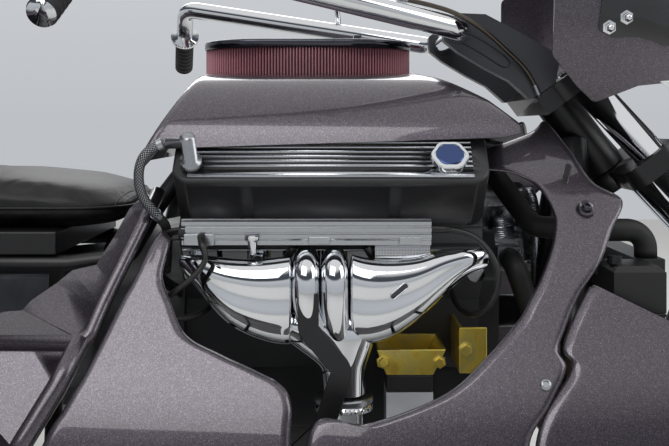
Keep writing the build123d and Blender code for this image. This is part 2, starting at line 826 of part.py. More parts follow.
def tail_lamps():
    return pair(Plane(origin=(trunk_x[0] - 0.2, -320, 620), z_dir=(-1, 0, 0)) * extrude(SlotOverall(120, 60), 22))


# Fork parts, in the steering frame
def triple_clamps():
    parts = []
    for z in (0, clamp_spacing):
        low, high = z - clamp_height / 2, z + clamp_height / 2
        plate = Pos(leg_x(z) - 14, 0, low) * extrude(RectangleRounded(104, 2 * (leg_y + 44), 30), clamp_height)
        plate += rod((0, 0, low), (0, 0, high), 46)
        if z:
            plate += block((-50, 0), (-riser_y - 18, riser_y + 18), (low, high))
        parts.append(plate)
    parts.append(rod((0, 0, 0), (0, 0, clamp_spacing), stem_r))
    whole = steer * fused(parts)
    whole += bent_tube([steer_point(60, 0, clamp_spacing), (540, 0, lamp_z), (609.7, 0, lamp_z)], 20, 14)
    for side in (-1, 1):
        whole -= leg_cylinder(side, leg_r + 0.1, -60, 300)
    return whole


def leg_cylinder(side, radius, low, high):
    start = steer_point(leg_x(low), side * leg_y, low)
    end = steer_point(leg_x(high), side * leg_y, high)
    return rod(start, end, radius)


slider_top = -250
slider_r = 33
slider_tail = 28


def fork_legs():
    """Chrome legs with their sliders, the axle between them."""
    legs = []
    foot = -(leg_drop + slider_tail) / cos(leg_rake) * cos(radians(leg_splay))
    for side in (-1, 1):
        legs.append(leg_cylinder(side, leg_r, slider_top, clamp_spacing + 24))
        legs.append(leg_cylinder(side, slider_r, foot, slider_top))
    axle = [axle_rod(-leg_y, leg_y, 12), axle_rod(-100, -62, 20), axle_rod(62, 100, 20)]
    return fused(legs + axle + [brake_caliper()])


def axle_rod(low_y, high_y, radius):
    return rod((front_axle_x, low_y, front_tyre_r), (front_axle_x, high_y, front_tyre_r), radius)


disc_r = 145
disc_y = (46, 51)
disc_gap = 5


def brake_caliper():
    """Caliper on the left leg's inner side, astride the disc's rim."""
    up = (-sin(leg_rake), 0, cos(leg_rake))
    along = Plane(origin=(front_axle_x, 0, front_tyre_r), x_dir=(0, 1, 0), z_dir=up)
    body = along * (Pos((28 + leg_y) / 2, 0, disc_r - 10) * Box(leg_y - 28, 60, 60))
    return body - axle_rod(disc_y[0] - disc_gap, disc_y[1] + disc_gap, disc_r + disc_gap)


# Riser seen from the side: x, z
riser_side = [
    (341, 875), (304, 908), (262, 930), (215, 958), (190, 978), (188, 1008),
    (214, 1026), (262, 1024), (330, 988), (392, 952), (384, 905),
]


def risers():
    base_z = clamp_spacing + clamp_height / 2
    arms = []
    for side in (-1, 1):
        y = side * riser_y
        arm = side_prism(riser_side, y - 16, y + 16, 5)
        arm -= steer * block((-200, 200), (-200, 200), (0, base_z))
        arm -= rod((bar_x, y - 30, bar_z), (bar_x, y + 30, bar_z), bar_r + 0.1)
        arm -= leg_cylinder(side, leg_r + 0.3, 100, 300)
        arms.append(arm)
    return arms


bar_path = [(bar_x, 0, bar_z), (bar_x, -200, bar_z), (-344, -430, 1100), (-357, -506, 1045)]


def handlebar():
    """Wide bar with a flange collar and a straight grip at each end."""
    start = Vector(*bar_path[3])
    run = (start - Vector(*bar_path[2])).normalized()
    half = bent_tube(bar_path, [55, 45], bar_r)
    half += rod(start - run * 2, start + run * 125, bar_r + 0.5)
    half += rod(start, start + run * 10, 33)
    return half + mirror(half, about=Plane.XZ)


# Fairing form: height, rear x, front x, half width
fairing_sections = [
    (860, 300, 640, 205), (960, 300, 722, 250), (1060, 300, 710, 262), (1180, 300, 640, 240), (1300, 300, 560, 200),
]


def fairing_form(grow):
    faces = []
    for z, rear, front, half in fairing_sections:
        straight = rear + 130
        width, reach = half + grow, front + grow - straight
        arc = EllipticalCenterArc((straight, 0), reach, width, start_angle=-90, arc_size=180)
        back = Polyline((straight, width), (rear, width), (rear, -width), (straight, -width))
        faces.append(Plane.XY.offset(z) * make_face([arc, back]))
    return loft(faces)


# Outlines seen from the side, X and Z
fairing_outline = [
    (356, 1100), (356, 946), (400, 897), (433, 869), (506, 897), (545, 905), (760, 925), (760, 1075), (560, 1120),
]
screen_outline = [
    (428, 985), (452, 973), (498, 975), (545, 962), (800, 975), (800, 1290), (560, 1296), (440, 1120),
]
lamp_z = 985
lamp_r = 88


def fairing():
    shell = fairing_form(0) - fairing_form(-4)
    shell = shell & side_prism(fairing_outline, -400, 400, 12)
    return shell - rod((560, 0, lamp_z), (900, 0, lamp_z), lamp_r + 0.3)


def windscreen():
    shell = fairing_form(4.3) - fairing_form(0.3)
    shell = shell & side_prism(screen_outline, -400, 400, 8)
    return shell - rod((560, 0, lamp_z), (900, 0, lamp_z), lamp_r + 12)


def headlamp():
    body = rod((610, 0, lamp_z), (752, 0, lamp_z), lamp_r)
    body = fillet(body.edges().sort_by(Axis.X)[0], 40)
    return body


def front_mudguard():
    inner = front_tyre_r + 16
    half = leg_y - slider_r - 0.3
    ring = rod((front_axle_x, -half, front_tyre_r), (front_axle_x, half, front_tyre_r), inner + 4)
    ring = fillet(ring.edges().filter_by(GeomType.CIRCLE), 24)
    core = rod((front_axle_x, 4 - half, front_tyre_r), (front_axle_x, half - 4, front_tyre_r), inner)
    core = fillet(core.edges().filter_by(GeomType.CIRCLE), 22)
    core += rod((front_axle_x, -90, front_tyre_r), (front_axle_x, 90, front_tyre_r), inner - 40)
    below = [(400, 470), (front_axle_x, front_tyre_r), (1500, 480), (1500, -100), (400, -100)]
    cut = side_prism(below, -200, 200)
    return ring - core - cut


def mirrors():
    glass = []
    for side in (-1, 1):
        stem = bent_tube([(10, side * 284, 1032), (0, side * 320, 1150), (10, side * 350, 1210)], 60, 6)
        stem -= rod((bar_x, side * 200, bar_z), (-344, side * 430, 1100), bar_r + 0.2)
        head = Plane(origin=(0, side * 350, 1240), z_dir=(-1, 0, 0)) * extrude(Ellipse(60, 42), 18)
        glass.append(stem + head)
    return glass


def tyre(axle_x, middle_y, radius, width, rim_r, bulge):
    """Tyre ring of flat facets: side wall, shoulders and a slightly crowned tread, over a bore for the rim."""
    half = width / 2
    # Distance from the middle, radius
    section = [(half, rim_r + 40), (half - 7, radius - bulge)]
    section += [(half - bulge * 0.55, radius - bulge * 0.3), (half - bulge, radius - 3)]
    places = [(-y, r) for y, r in section] + [(0, radius)] + list(reversed(section))
    rings = []
    for y, r in places:
        across = Plane(origin=(axle_x, middle_y + y, radius), x_dir=(0, 0, -1), z_dir=(0, 1, 0))
        rings.append(across * RegularPolygon(r, tyre_sides))
    bore = Plane(origin=(axle_x, middle_y - width, radius), x_dir=(0, 0, -1), z_dir=(0, 1, 0))
    hole = RegularPolygon(rim_r / cos(pi / tyre_sides), tyre_sides)
    return loft(rings, ruled=True) - extrude(bore * hole, 2 * width)


def rim(axle_x, middle_y, axle_height, rim_r, width, spokes, hub_r, hub_low, hub_high, bore_r):
    """Rim ring, spokes by a loop and a hub with its bore."""
    half = width / 2 - 14
    ring = rod((axle_x, middle_y - half, axle_height), (axle_x, middle_y + half, axle_height), rim_r - 0.2)
    ring -= rod((axle_x, middle_y - half - 1, axle_height), (axle_x, middle_y + half + 1, axle_height), rim_r - 16)
    parts = [ring, rod((axle_x, hub_low, axle_height), (axle_x, hub_high, axle_height), hub_r)]
    for step in range(spokes):
        spoke = block((hub_r - 10, rim_r - 8), (middle_y - 14, middle_y + 14), (-16, 16))
        spoke = Pos(axle_x, 0, axle_height) * (Rot(0, 360 * step / spokes, 0) * spoke)
        parts.append(spoke)
    whole = fused(parts)
    if bore_r:
        whole -= rod((axle_x, hub_low - 1, axle_height), (axle_x, hub_high + 1, axle_height), bore_r)
    return whole


def front_tyre():
    return tyre(front_axle_x, 0, front_tyre_r, front_tyre_w, front_rim_r, 40)


def front_rim():
    wheel = rim(front_axle_x, 0, front_tyre_r, front_rim_r, front_tyre_w, 7, 34, -60, 60, 12.05)
    disc = axle_rod(*disc_y, disc_r) - axle_rod(disc_y[0] - 6, disc_y[1] + 9, 34)
    return wheel + disc


def rear_tyre(side):
    return tyre(rear_axle_x, side * rear_track / 2, rear_tyre_r, rear_tyre_w, rear_rim_r, 34)


def rear_rim(side):
    middle = side * rear_track / 2
    low, high = sorted((side * (axle_end + hub_gap), side * (rear_track / 2 + 40)))
    wheel = rim(rear_axle_x, middle, axle_z, rear_rim_r, rear_tyre_w, 5, 60, low, high, 0)
    inside, outside = side * (axle_end - stub_depth), side * (axle_end + 20)
    return wheel + rod((rear_axle_x, inside, axle_z), (rear_axle_x, outside, axle_z), stub_r)


nodes = {
    "frame": frame(),
    "top_rails": top_rails(),
    "cross_tubes": cross_tubes(),
    "steering_head": steering_head(),
    "engine_block": engine_block(),
    "cylinder_heads": cylinder_heads(),
    "valve_covers": valve_covers(),
    "oil_cap": oil_cap(),
    "breather": breather(),
    "intake_manifold": intake_manifold(),
    "air_filter_element": air_filter_element(),
    "air_filter_lid": air_filter_lid(),
    "headers": headers(),
    "exhaust_pipes": exhaust_pipes(),
    "wire_looms": wire_looms(),
    "plug_wires": plug_wires(),
    "breather_hose": breather_hose(),
    "header_stay": header_stay(),
    "engine_mounts": engine_mounts(),
    "mount_rubbers": mount_rubbers(),
    "mount_pedestals": mount_pedestals(),
    "belt_drive": belt_drive(),
    "alternator": alternator(),
    "radiator": radiator(),
    "coolant_tank": coolant_tank(),
    "coolant_hoses": coolant_hoses(),
    "gearbox": gearbox(),
    "rear_axle": rear_axle(),
    "rear_suspension": rear_suspension(),
    "tank_shell": tank_shell(),
    "side_arms": side_arms(),
    "side_panels": side_panels(),
    "tub_sides": tub_sides(),
    "rear_tub": rear_tub(),
    "rear_fenders": rear_fenders(),
    "rider_seat": rider_seat(),
    "seat_pan": seat_pan(),
    "passenger_seat": passenger_seat(),
    "backrest": backrest(),
    "foot_boards": foot_boards(),
    "tail_lamps": tail_lamps(),
    "triple_clamps": triple_clamps(),
    "fork_legs": fork_legs(),
    "risers": risers(),
    "handlebar": handlebar(),
    "control_cable": control_cable(),
    "fairing": fairing(),
    "windscreen": windscreen(),
    "headlamp": headlamp(),
    "front_mudguard": front_mudguard(),
    "mirrors": mirrors(),
    "front_tyre": front_tyre(),
    "front_rim": front_rim(),
    "rear_tyre_right": rear_tyre(-1),
    "rear_rim_right": rear_rim(-1),
    "rear_tyre_left": rear_tyre(1),
    "rear_rim_left": rear_rim(1),
}

os.makedirs("parts", exist_ok=True)
for name, shape in nodes.items():
    solids = shape if isinstance(shape, list) else [shape]
    moved = [Pos(-middle_x, 0, 0) * solid for solid in solids]
    export_step(Compound(children=moved), f"parts/{name}.step")
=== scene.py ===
import json
import math
import bmesh
import bpy
import numpy as np
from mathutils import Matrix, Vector
from mathutils.bvhtree import BVHTree

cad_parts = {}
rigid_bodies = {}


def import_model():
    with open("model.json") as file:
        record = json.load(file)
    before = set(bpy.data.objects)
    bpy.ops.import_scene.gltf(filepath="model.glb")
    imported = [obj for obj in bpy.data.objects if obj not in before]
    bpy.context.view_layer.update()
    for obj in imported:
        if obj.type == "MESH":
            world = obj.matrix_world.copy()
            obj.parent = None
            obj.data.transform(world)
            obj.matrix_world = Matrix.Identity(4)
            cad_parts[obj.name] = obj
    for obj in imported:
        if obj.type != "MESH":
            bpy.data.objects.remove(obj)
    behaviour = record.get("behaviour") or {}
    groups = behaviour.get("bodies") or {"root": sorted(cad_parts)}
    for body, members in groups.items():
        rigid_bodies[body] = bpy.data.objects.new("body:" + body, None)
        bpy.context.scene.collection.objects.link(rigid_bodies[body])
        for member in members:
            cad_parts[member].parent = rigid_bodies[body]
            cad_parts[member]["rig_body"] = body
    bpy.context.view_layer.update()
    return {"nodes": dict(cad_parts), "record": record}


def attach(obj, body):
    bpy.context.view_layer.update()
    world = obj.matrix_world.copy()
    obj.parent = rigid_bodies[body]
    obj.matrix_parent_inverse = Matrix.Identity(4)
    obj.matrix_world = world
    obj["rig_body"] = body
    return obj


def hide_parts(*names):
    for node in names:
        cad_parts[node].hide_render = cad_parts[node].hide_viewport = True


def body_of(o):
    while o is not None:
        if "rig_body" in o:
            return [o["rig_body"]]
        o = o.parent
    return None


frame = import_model()
nodes = frame["nodes"]
record = frame["record"]
bodyOfNode = {node: body for body, group in record["behaviour"]["bodies"].items() for node in group}
engineX = 0.203  # the engine's middle lies this far ahead of the middle of the length
crankZ = 0.483
bankNormal = np.array([0.0, -math.sin(math.pi / 4), math.cos(math.pi / 4)])  # right bank, away from the crank
bankAcross = np.array([0.0, math.cos(math.pi / 4), math.sin(math.pi / 4)])  # right bank, towards the middle
rearAxleX, rearAxleZ = -1.25 + engineX, 0.35
rayStart = 1200.0  # millimetres from the middle, outside every piece
print("frame loaded:", len(nodes), "nodes")


def metres(points, side=1):
    # millimetres from the engine's middle to the model's frame in metres; side -1 mirrors to the left half
    return (np.asarray(points, float) + [1000 * engineX, 0, 0]) / 1000 * [1, side, 1]


def onBank(x, across, up):
    # place on the right bank, millimetres: along the crank, towards the middle, away from the crank
    return np.array([x, 0, 1000 * crankZ]) + across * bankAcross + up * bankNormal


def turns(count):
    # even angles once round
    return np.linspace(0, 2 * np.pi, count, endpoint=False)


def runLength(points):
    # length of the line up to each of its points
    return np.r_[0, np.cumsum(np.linalg.norm(np.diff(points, axis=0), axis=1))]


def ellipseShare(f, power):
    # sign(f)*|f|^(2/power), for a rounded oblong in place of an ellipse
    return np.sign(f) * np.abs(f) ** (2 / power)


def hexParts(hexText):
    return np.array([int(hexText[k:k + 2], 16) for k in (1, 3, 5)])


def shaded(hexText, share, lift=0):
    # the same hue, lighter or darker
    return "#%02x%02x%02x" % tuple(np.minimum(255, hexParts(hexText) * share + lift).astype(int))


def linearColour(hexText):
    # sRGB hex to linear: c/12.92 below 0.04045, else ((c + 0.055)/1.055)^2.4
    parts = hexParts(hexText) / 255.0
    linear = np.where(parts <= 0.04045, parts / 12.92, ((parts + 0.055) / 1.055) ** 2.4)
    return (*[float(v) for v in linear], 1.0)


def addNode(tree, kind, settings=None, inputs=None, links=None):
    node = tree.nodes.new(kind)
    for name, value in (settings or {}).items():
        setattr(node, name, value)
    for name, value in (inputs or {}).items():
        node.inputs[name].default_value = value
    for name, socket in (links or {}).items():
        tree.links.new(socket, node.inputs[name])
    return node


def newMaterial(name, colour=None, **inputs):
    material = bpy.data.materials.new(name)
    material.use_nodes = True
    tree = material.node_tree
    shader = tree.nodes["Principled BSDF"]
    if colour:
        shader.inputs["Base Color"].default_value = linearColour(colour)
    for key, value in inputs.items():
        shader.inputs[key.replace("_", " ")].default_value = value
    coords = addNode(tree, "ShaderNodeTexCoord").outputs["Object"]
    return material, tree, shader, coords


def blendColours(tree, factor, stops):
    # stops: position and hex colour, straight blend between neighbours
    ramp = addNode(tree, "ShaderNodeValToRGB", links={"Fac": factor})
    elements = ramp.color_ramp.elements
    while len(elements) < len(stops):
        elements.new(0.5)
    for element, (position, colour) in zip(elements, stops):
        element.position = position
        element.color = linearColour(colour)
    return ramp.outputs["Color"]


def tint(tree, shader, factor, stops):
    tree.links.new(blendColours(tree, factor, stops), shader.inputs["Base Color"])


def glossBetween(tree, shader, factor, low, high):
    # roughness from low to high as the factor goes from 0 to 1
    spread = addNode(tree, "ShaderNodeMapRange", {}, {"To Min": low, "To Max": high}, {"Value": factor})
    tree.links.new(spread.outputs["Result"], shader.inputs["Roughness"])


def addBump(tree, shader, height, strength, distance, socket="Normal"):
    settings = {"Strength": strength, "Distance": distance}
    bump = addNode(tree, "ShaderNodeBump", inputs=settings, links={"Height": height})
    tree.links.new(bump.outputs["Normal"], shader.inputs[socket])


def placed(name, data):
    # object of the data, linked to the scene
    made = bpy.data.objects.new(name, data)
    bpy.context.scene.collection.objects.link(made)
    return made


def newPiece(name, points, faces, material, body, uv=None):
    mesh = bpy.data.meshes.new(name)
    faces = faces if isinstance(faces, list) else faces.tolist()
    mesh.from_pydata(np.asarray(points).reshape(-1, 3).tolist(), [], faces)
    mesh.shade_smooth()
    if uv is not None:
        layer = mesh.uv_layers.new(name="along")
        corners = np.empty(len(mesh.loops), dtype=np.int32)
        mesh.loops.foreach_get("vertex_index", corners)
        layer.data.foreach_set("uv", np.asarray(uv).reshape(-1, 2)[corners].ravel())
    mesh.update()
    mesh.materials.append(material)
    piece = placed(name, mesh)
    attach(piece, body)
    return piece


def gridFaces(rows, columns, closeRows=False, closeColumns=False):
    # quad (i, j): corners i, j then i + 1, j and so on, wrapped where the grid closes
    last = (rows if closeRows else rows - 1, columns if closeColumns else columns - 1)
    a, b = np.indices(last).reshape(2, -1)
    c, d = (a + 1) % rows, (b + 1) % columns
    return np.stack([a * columns + b, a * columns + d, c * columns + d, c * columns + b], axis=1)


def faceOut(piece, angle=None):
    # merges doubles, turns faces outwards, keeps edges sharper than the angle
    work = bmesh.new()
    work.from_mesh(piece.data)
    bmesh.ops.remove_doubles(work, verts=work.verts, dist=1e-6)
    bmesh.ops.recalc_face_normals(work, faces=work.faces)
    work.to_mesh(piece.data)
    work.free()
    piece.data.shade_smooth()
    if angle:
        piece.data.set_sharp_from_angle(angle=math.radians(angle))
    return piece


def ringsPiece(name, points, material, angle=None):
    # skin over a stack of rings of points, each ring closed
    faces = gridFaces(*points.shape[:2], closeColumns=True)
    return faceOut(newPiece(name, points, faces, material, "chassis"), angle)


def neighbours(points, count):
    # four points round each of the even places along a line with doubled ends, and the share between them
    p = np.asarray(points, float)
    p = np.vstack([2 * p[0] - p[1], p, 2 * p[-1] - p[-2]])
    u = np.linspace(0, len(p) - 3 - 1e-9, count)
    k, t = u.astype(int), (u % 1)[:, None]
    return [p[k + n] for n in range(4)], t


def smoothLine(points, count):
    # uniform cubic B-spline: neighbours weighted by (1-t)^3/6, (3t^3-6t^2+4)/6, (-3t^3+3t^2+3t+1)/6, t^3/6
    four, t = neighbours(points, count)
    weights = [(1 - t) ** 3 / 6, (3 * t ** 3 - 6 * t ** 2 + 4) / 6,
               (-3 * t ** 3 + 3 * t ** 2 + 3 * t + 1) / 6, t ** 3 / 6]
    return sum(weight * point for weight, point in zip(weights, four))


def throughLine(points, count):
    # Catmull-Rom through every point: 0.5*(2b + (c - a)t + (2a - 5b + 4c - d)t^2 + (3b - a - 3c + d)t^3)
    (a, b, c, d), t = neighbours(points, count)
    return 0.5 * (2 * b + (c - a) * t + (2 * a - 5 * b + 4 * c - d) * t ** 2 + (3 * b - a - 3 * c + d) * t ** 3)


def surfaceLine(piece, starts, direction):
    # first hit on the piece of a ray from each start, and the face's normal there
    mesh = piece.data
    tree = BVHTree.FromPolygons([v.co for v in mesh.vertices], [list(f.vertices) for f in mesh.polygons])
    directions = np.broadcast_to(direction, np.shape(starts))
    hits = [tree.ray_cast(Vector(p), Vector(d)) for p, d in zip(starts, directions)]
    kept = [hit for hit in hits if hit[0] is not None]
    return np.array([tuple(hit[0]) for hit in kept]), np.array([tuple(hit[1]) for hit in kept])


def onFace(piece, places, side):
    # points and outward normals where lines along Y from the given x, z (millimetres) first meet a piece
    starts = metres([[x, -rayStart, z] for x, z in places], side)
    return surfaceLine(piece, starts, (0, side, 0))


def alongPath(path, ring, across=(0, 0, 1)):
    # ring: (count or 1, sides, 2) offsets; frame at each point from the tangent and the given direction
    path = np.asarray(path, float)
    tangent = np.gradient(path, axis=0)
    tangent /= np.linalg.norm(tangent, axis=1, keepdims=True)
    side = np.cross(np.broadcast_to(np.asarray(across, float), tangent.shape), tangent)
    side /= np.linalg.norm(side, axis=1, keepdims=True)
    up = np.cross(tangent, side)
    ring = np.broadcast_to(ring, (len(path),) + np.shape(ring)[-2:])
    return path[:, None] + ring[..., :1] * side[:, None] + ring[..., 1:] * up[:, None]


def circleRing(radii, sides):
    # offsets r cos a, r sin a for each radius along the path
    a = turns(sides)
    return np.atleast_1d(radii)[:, None, None] * np.stack([np.cos(a), np.sin(a)], axis=-1)[None]


def tubePiece(name, path, radii, material, body, sides=24, across=(0, 0, 1)):
    # circle of one radius, or of r(s), carried along the path and closed at each end; V is metres along it
    points = alongPath(path, circleRing(radii, sides), across)
    last = (len(points) - 1) * sides
    faces = gridFaces(len(points), sides, closeColumns=True).tolist()
    faces += [list(range(sides)), list(range(last, last + sides))]
    uv = np.stack(np.broadcast_arrays(np.linspace(0, 1, sides)[None], runLength(path)[:, None]), axis=-1)
    return faceOut(newPiece(name, points, faces, material, body, uv), 50)


def revolved(name, profile, centre, axis, material, body, sides=64, angle=35):
    # profile: distance along the axis and radius; ring point = centre + axis*d + r*(u cos a + v sin a)
    axis = np.asarray(axis, float) / np.linalg.norm(axis)
    u = np.cross(axis, [0.31, 0.52, 0.79])
    u /= np.linalg.norm(u)
    v = np.cross(axis, u)
    d, r = np.asarray(profile, float).T
    a = turns(sides)[:, None]
    spin = np.cos(a)[..., None] * u + np.sin(a)[..., None] * v
    points = np.asarray(centre) + axis * d[None, :, None] + spin * r[None, :, None]
    closed = bool(np.allclose(profile[0], profile[-1]))
    if closed:
        points = points[:, :-1]
    faces = gridFaces(sides, points.shape[1], closeRows=True, closeColumns=closed)
    return faceOut(newPiece(name, points, faces, material, body), angle)


def mergePieces(name, pieces):
    # one object from several on the same body, each keeping its material
    work = bmesh.new()
    materials = []
    for piece in pieces:
        start = len(work.faces)
        work.from_mesh(piece.data)
        work.faces.ensure_lookup_table()
        offset = len(materials)
        for face in work.faces[start:]:
            face.material_index += offset
        materials += list(piece.data.materials)
    mesh = bpy.data.meshes.new(name)
    work.to_mesh(mesh)
    work.free()
    for material in materials:
        mesh.materials.append(material)
    whole = placed(name, mesh)
    body = body_of(pieces[0])[0]
    for piece in pieces:
        bpy.data.objects.remove(piece)
    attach(whole, body)
    return whole


def nurbsLine(points, count):
    # order 3 NURBS clamped at its ends, with the route's corners as control points, then even steps along it
    curve = bpy.data.curves.new("route", "CURVE")
    curve.dimensions = "3D"
    curve.resolution_u = 16
    spline = curve.splines.new("NURBS")
    spline.points.add(len(points) - 1)
    spline.points.foreach_set("co", np.c_[points, np.ones(len(points))].ravel())
    spline.order_u = 3
    spline.use_endpoint_u = True
    holder = bpy.data.objects.new("route", curve)
    mesh = bpy.data.meshes.new_from_object(holder)
    line = np.empty(3 * len(mesh.vertices))
    mesh.vertices.foreach_get("co", line)
    bpy.data.objects.remove(holder)
    bpy.data.meshes.remove(mesh)
    bpy.data.curves.remove(curve)
    line = line.reshape(-1, 3)
    reach = runLength(line)
    even = np.linspace(0, reach[-1], count)
    return np.stack([np.interp(even, reach, line[:, k]) for k in range(3)], axis=1)


def applyModifiers(piece):
    evaluated = piece.evaluated_get(bpy.context.evaluated_depsgraph_get())
    mesh = bpy.data.meshes.new_from_object(evaluated)
    piece.modifiers.clear()
    old = piece.data
    piece.data = mesh
    bpy.data.meshes.remove(old)


def slab(name, centre, size, axes, material, body, edge=0.001):
    # plate of the given full sizes along three axes, its edges rounded by a bevel
    corners = np.array([[x, y, z] for x in (-1, 1) for y in (-1, 1) for z in (-1, 1)]) * np.asarray(size) / 2
    points = np.asarray(centre) + corners @ np.asarray(axes, float)
    faces = [[0, 1, 3, 2], [4, 6, 7, 5], [0, 4, 5, 1], [2, 3, 7, 6], [0, 2, 6, 4], [1, 5, 7, 3]]
    piece = faceOut(newPiece(name, points, faces, material, body), 30)
    rounded = piece.modifiers.new("edgeRadius", "BEVEL")
    rounded.width = edge
    rounded.segments = 3
    rounded.harden_normals = True
    applyModifiers(piece)
    return piece


boltProfile = np.array([[0, -0.3], [1.4, -0.3], [1.4, 0.12], [1.0, 0.2], [1.0, 0.85], [0.84, 1.0], [0, 1.0]])


def boltGroup(name, rows, material, body, sides=6, profile=boltProfile):
    # rows of place, axis, radius, height: rings up each axis by the profile's shares of radius and height
    rows = np.asarray(rows, float)
    place, axis = rows[:, None, None, 0:3], rows[:, 3:6]
    axis = axis / np.linalg.norm(axis, axis=1, keepdims=True)
    u = np.cross(axis, [0.31, 0.52, 0.79])
    u /= np.linalg.norm(u, axis=1, keepdims=True)
    v = np.cross(axis, u)
    a = (np.arange(sides) * 2 * np.pi / sides)[None, :, None]
    spin = (u[:, None] * np.cos(a) + v[:, None] * np.sin(a))[:, None]
    radius = (rows[:, 6:7] * profile[None, :, 0])[..., None, None]
    height = (rows[:, 7:8] * profile[None, :, 1])[..., None, None]
    points = place + axis[:, None, None] * height + spin * radius
    one = gridFaces(len(profile), sides, closeColumns=True)
    start = (np.arange(len(rows)) * len(profile) * sides)[:, None, None]
    return faceOut(newPiece(name, points, (one[None] + start).reshape(-1, 4), material, body), 30)


def standFor(piece, node):
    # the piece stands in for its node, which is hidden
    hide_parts(node)
    return piece


def trim(name, pieces):
    # small pieces joined into one object
    whole = mergePieces(name, pieces)
    return whole


def smoothedNode(node, material, bevel=0.0, angle=32):
    # copy of the solid with its triangles joined, round faces shaded smooth and an edge radius
    mesh = nodes[node].data.copy()
    mesh.name = node + "Dressed"
    work = bmesh.new()
    work.from_mesh(mesh)
    bmesh.ops.remove_doubles(work, verts=work.verts, dist=1e-5)
    if bevel:
        bmesh.ops.dissolve_limit(work, angle_limit=math.radians(0.8), verts=work.verts, edges=work.edges)
    work.to_mesh(mesh)
    work.free()
    mesh.shade_smooth()
    mesh.set_sharp_from_angle(angle=math.radians(angle))
    mesh.materials.clear()
    mesh.materials.append(material)
    piece = placed(node + "Dressed", mesh)
    if bevel:
        edge = piece.modifiers.new("edgeRadius", "BEVEL")
        edge.width = bevel
        edge.segments = 2
        edge.limit_method = "ANGLE"
        edge.angle_limit = math.radians(angle)
        edge.harden_normals = True
    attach(piece, bodyOfNode[node])
    return standFor(piece, node)


def metallicBodyPaint():
    # automotive base coat with aluminium flake under a clear coat: sparkle, dark edge-on, sharp reflections
    settings = {"deep": "#2F2B31", "light": "#5A535C", "spark": "#8C828F", "flake": 0.0009, "peel": 0.004}
    material, tree, shader, coords = newMaterial(
        "metallicBodyPaint", Metallic=0.82, Roughness=0.34, Coat_Weight=1.0, Coat_Roughness=0.035)
    flakes = addNode(tree, "ShaderNodeTexVoronoi", {}, {"Scale": 1 / settings["flake"]}, {"Vector": coords})
    stops = [(0.0, settings["deep"]), (0.75, settings["light"]), (1.0, settings["spark"])]
    tint(tree, shader, flakes.outputs["Color"], stops)
    waviness = {"Scale": 1 / settings["peel"], "Detail": 1.0}
    peel = addNode(tree, "ShaderNodeTexNoise", {}, waviness, {"Vector": coords})
    addBump(tree, shader, peel.outputs["Fac"], 0.03, 0.0002, "Coat Normal")
    return material


def mirrorChrome(name="mirrorChrome", colour="#DDDFE2", rough=0.045):
    # nickel and chromium plate: near mirror, faint hand smudges
    material, tree, shader, coords = newMaterial(name, colour, Metallic=1.0)
    smudge = addNode(tree, "ShaderNodeTexNoise", {}, {"Scale": 18.0, "Detail": 4.0}, {"Vector": coords})
    glossBetween(tree, shader, smudge.outputs["Fac"], rough * 0.6, rough * 1.8)
    return material


def satinPaint(name, colour, rough=0.36, grain=0.0016, depth=0.12):
    # satin powder coat over steel: even colour, fine orange peel
    material, tree, shader, coords = newMaterial(name, Roughness=rough)
    peel = addNode(tree, "ShaderNodeTexNoise", {}, {"Scale": 1 / grain, "Detail": 2.0}, {"Vector": coords})
    wear = addNode(tree, "ShaderNodeTexNoise", {}, {"Scale": 9.0, "Detail": 5.0}, {"Vector": coords})
    tint(tree, shader, wear.outputs["Fac"], [(0.35, colour), (0.75, shaded(colour, 1.18, 6))])
    addBump(tree, shader, peel.outputs["Fac"], depth, 0.0004)
    return material


def castAlloy(name="sandCastAluminium", colour="#94969A", rough=0.46):
    # sand cast aluminium: grains 0.8 mm across on the real casting, drawn 1.6 mm across so that they show
    material, tree, shader, coords = newMaterial(name, Metallic=0.9, Roughness=rough)
    grain = addNode(tree, "ShaderNodeTexNoise", {}, {"Scale": 1 / 0.0016, "Detail": 3.0}, {"Vector": coords})
    stain = addNode(tree, "ShaderNodeTexNoise", {}, {"Scale": 14.0, "Detail": 6.0}, {"Vector": coords})
    tint(tree, shader, stain.outputs["Fac"], [(0.3, shaded(colour, 0.72)), (0.65, colour)])
    addBump(tree, shader, grain.outputs["Fac"], 0.35, 0.0006)
    return material


def brushedAlloy(name="brushedAluminium", colour="#B9BBBE", rough=0.27):
    # belt-brushed along X: noise 9 times a metre along and 2600 times across, so streaks 0.4 mm wide
    material, tree, shader, coords = newMaterial(name, colour, Metallic=1.0)
    scale = {"Scale": (9.0, 2600.0, 2600.0)}
    stretch = addNode(tree, "ShaderNodeMapping", {}, scale, {"Vector": coords}).outputs["Vector"]
    streak = addNode(tree, "ShaderNodeTexNoise", {}, {"Scale": 1.0, "Detail": 3.0}, {"Vector": stretch})
    glossBetween(tree, shader, streak.outputs["Fac"], rough * 0.85, rough * 1.15)
    addBump(tree, shader, streak.outputs["Fac"], 0.03, 0.0001)
    return material


def goldZinc():
    # yellow chromate on zinc plate: gold with green and rose clouds, soft metal gloss
    settings = {"Scale": 26.0, "Detail": 5.0, "Distortion": 0.8}
    material, tree, shader, coords = newMaterial("yellowChromateZinc", Metallic=0.85, Roughness=0.36)
    cloud = addNode(tree, "ShaderNodeTexNoise", {}, settings, {"Vector": coords})
    stops = [(0.3, "#DDBB4E"), (0.45, "#F7DA62"), (0.58, "#E4D37A"), (0.72, "#E8B066")]
    tint(tree, shader, cloud.outputs["Fac"], stops)
    return material


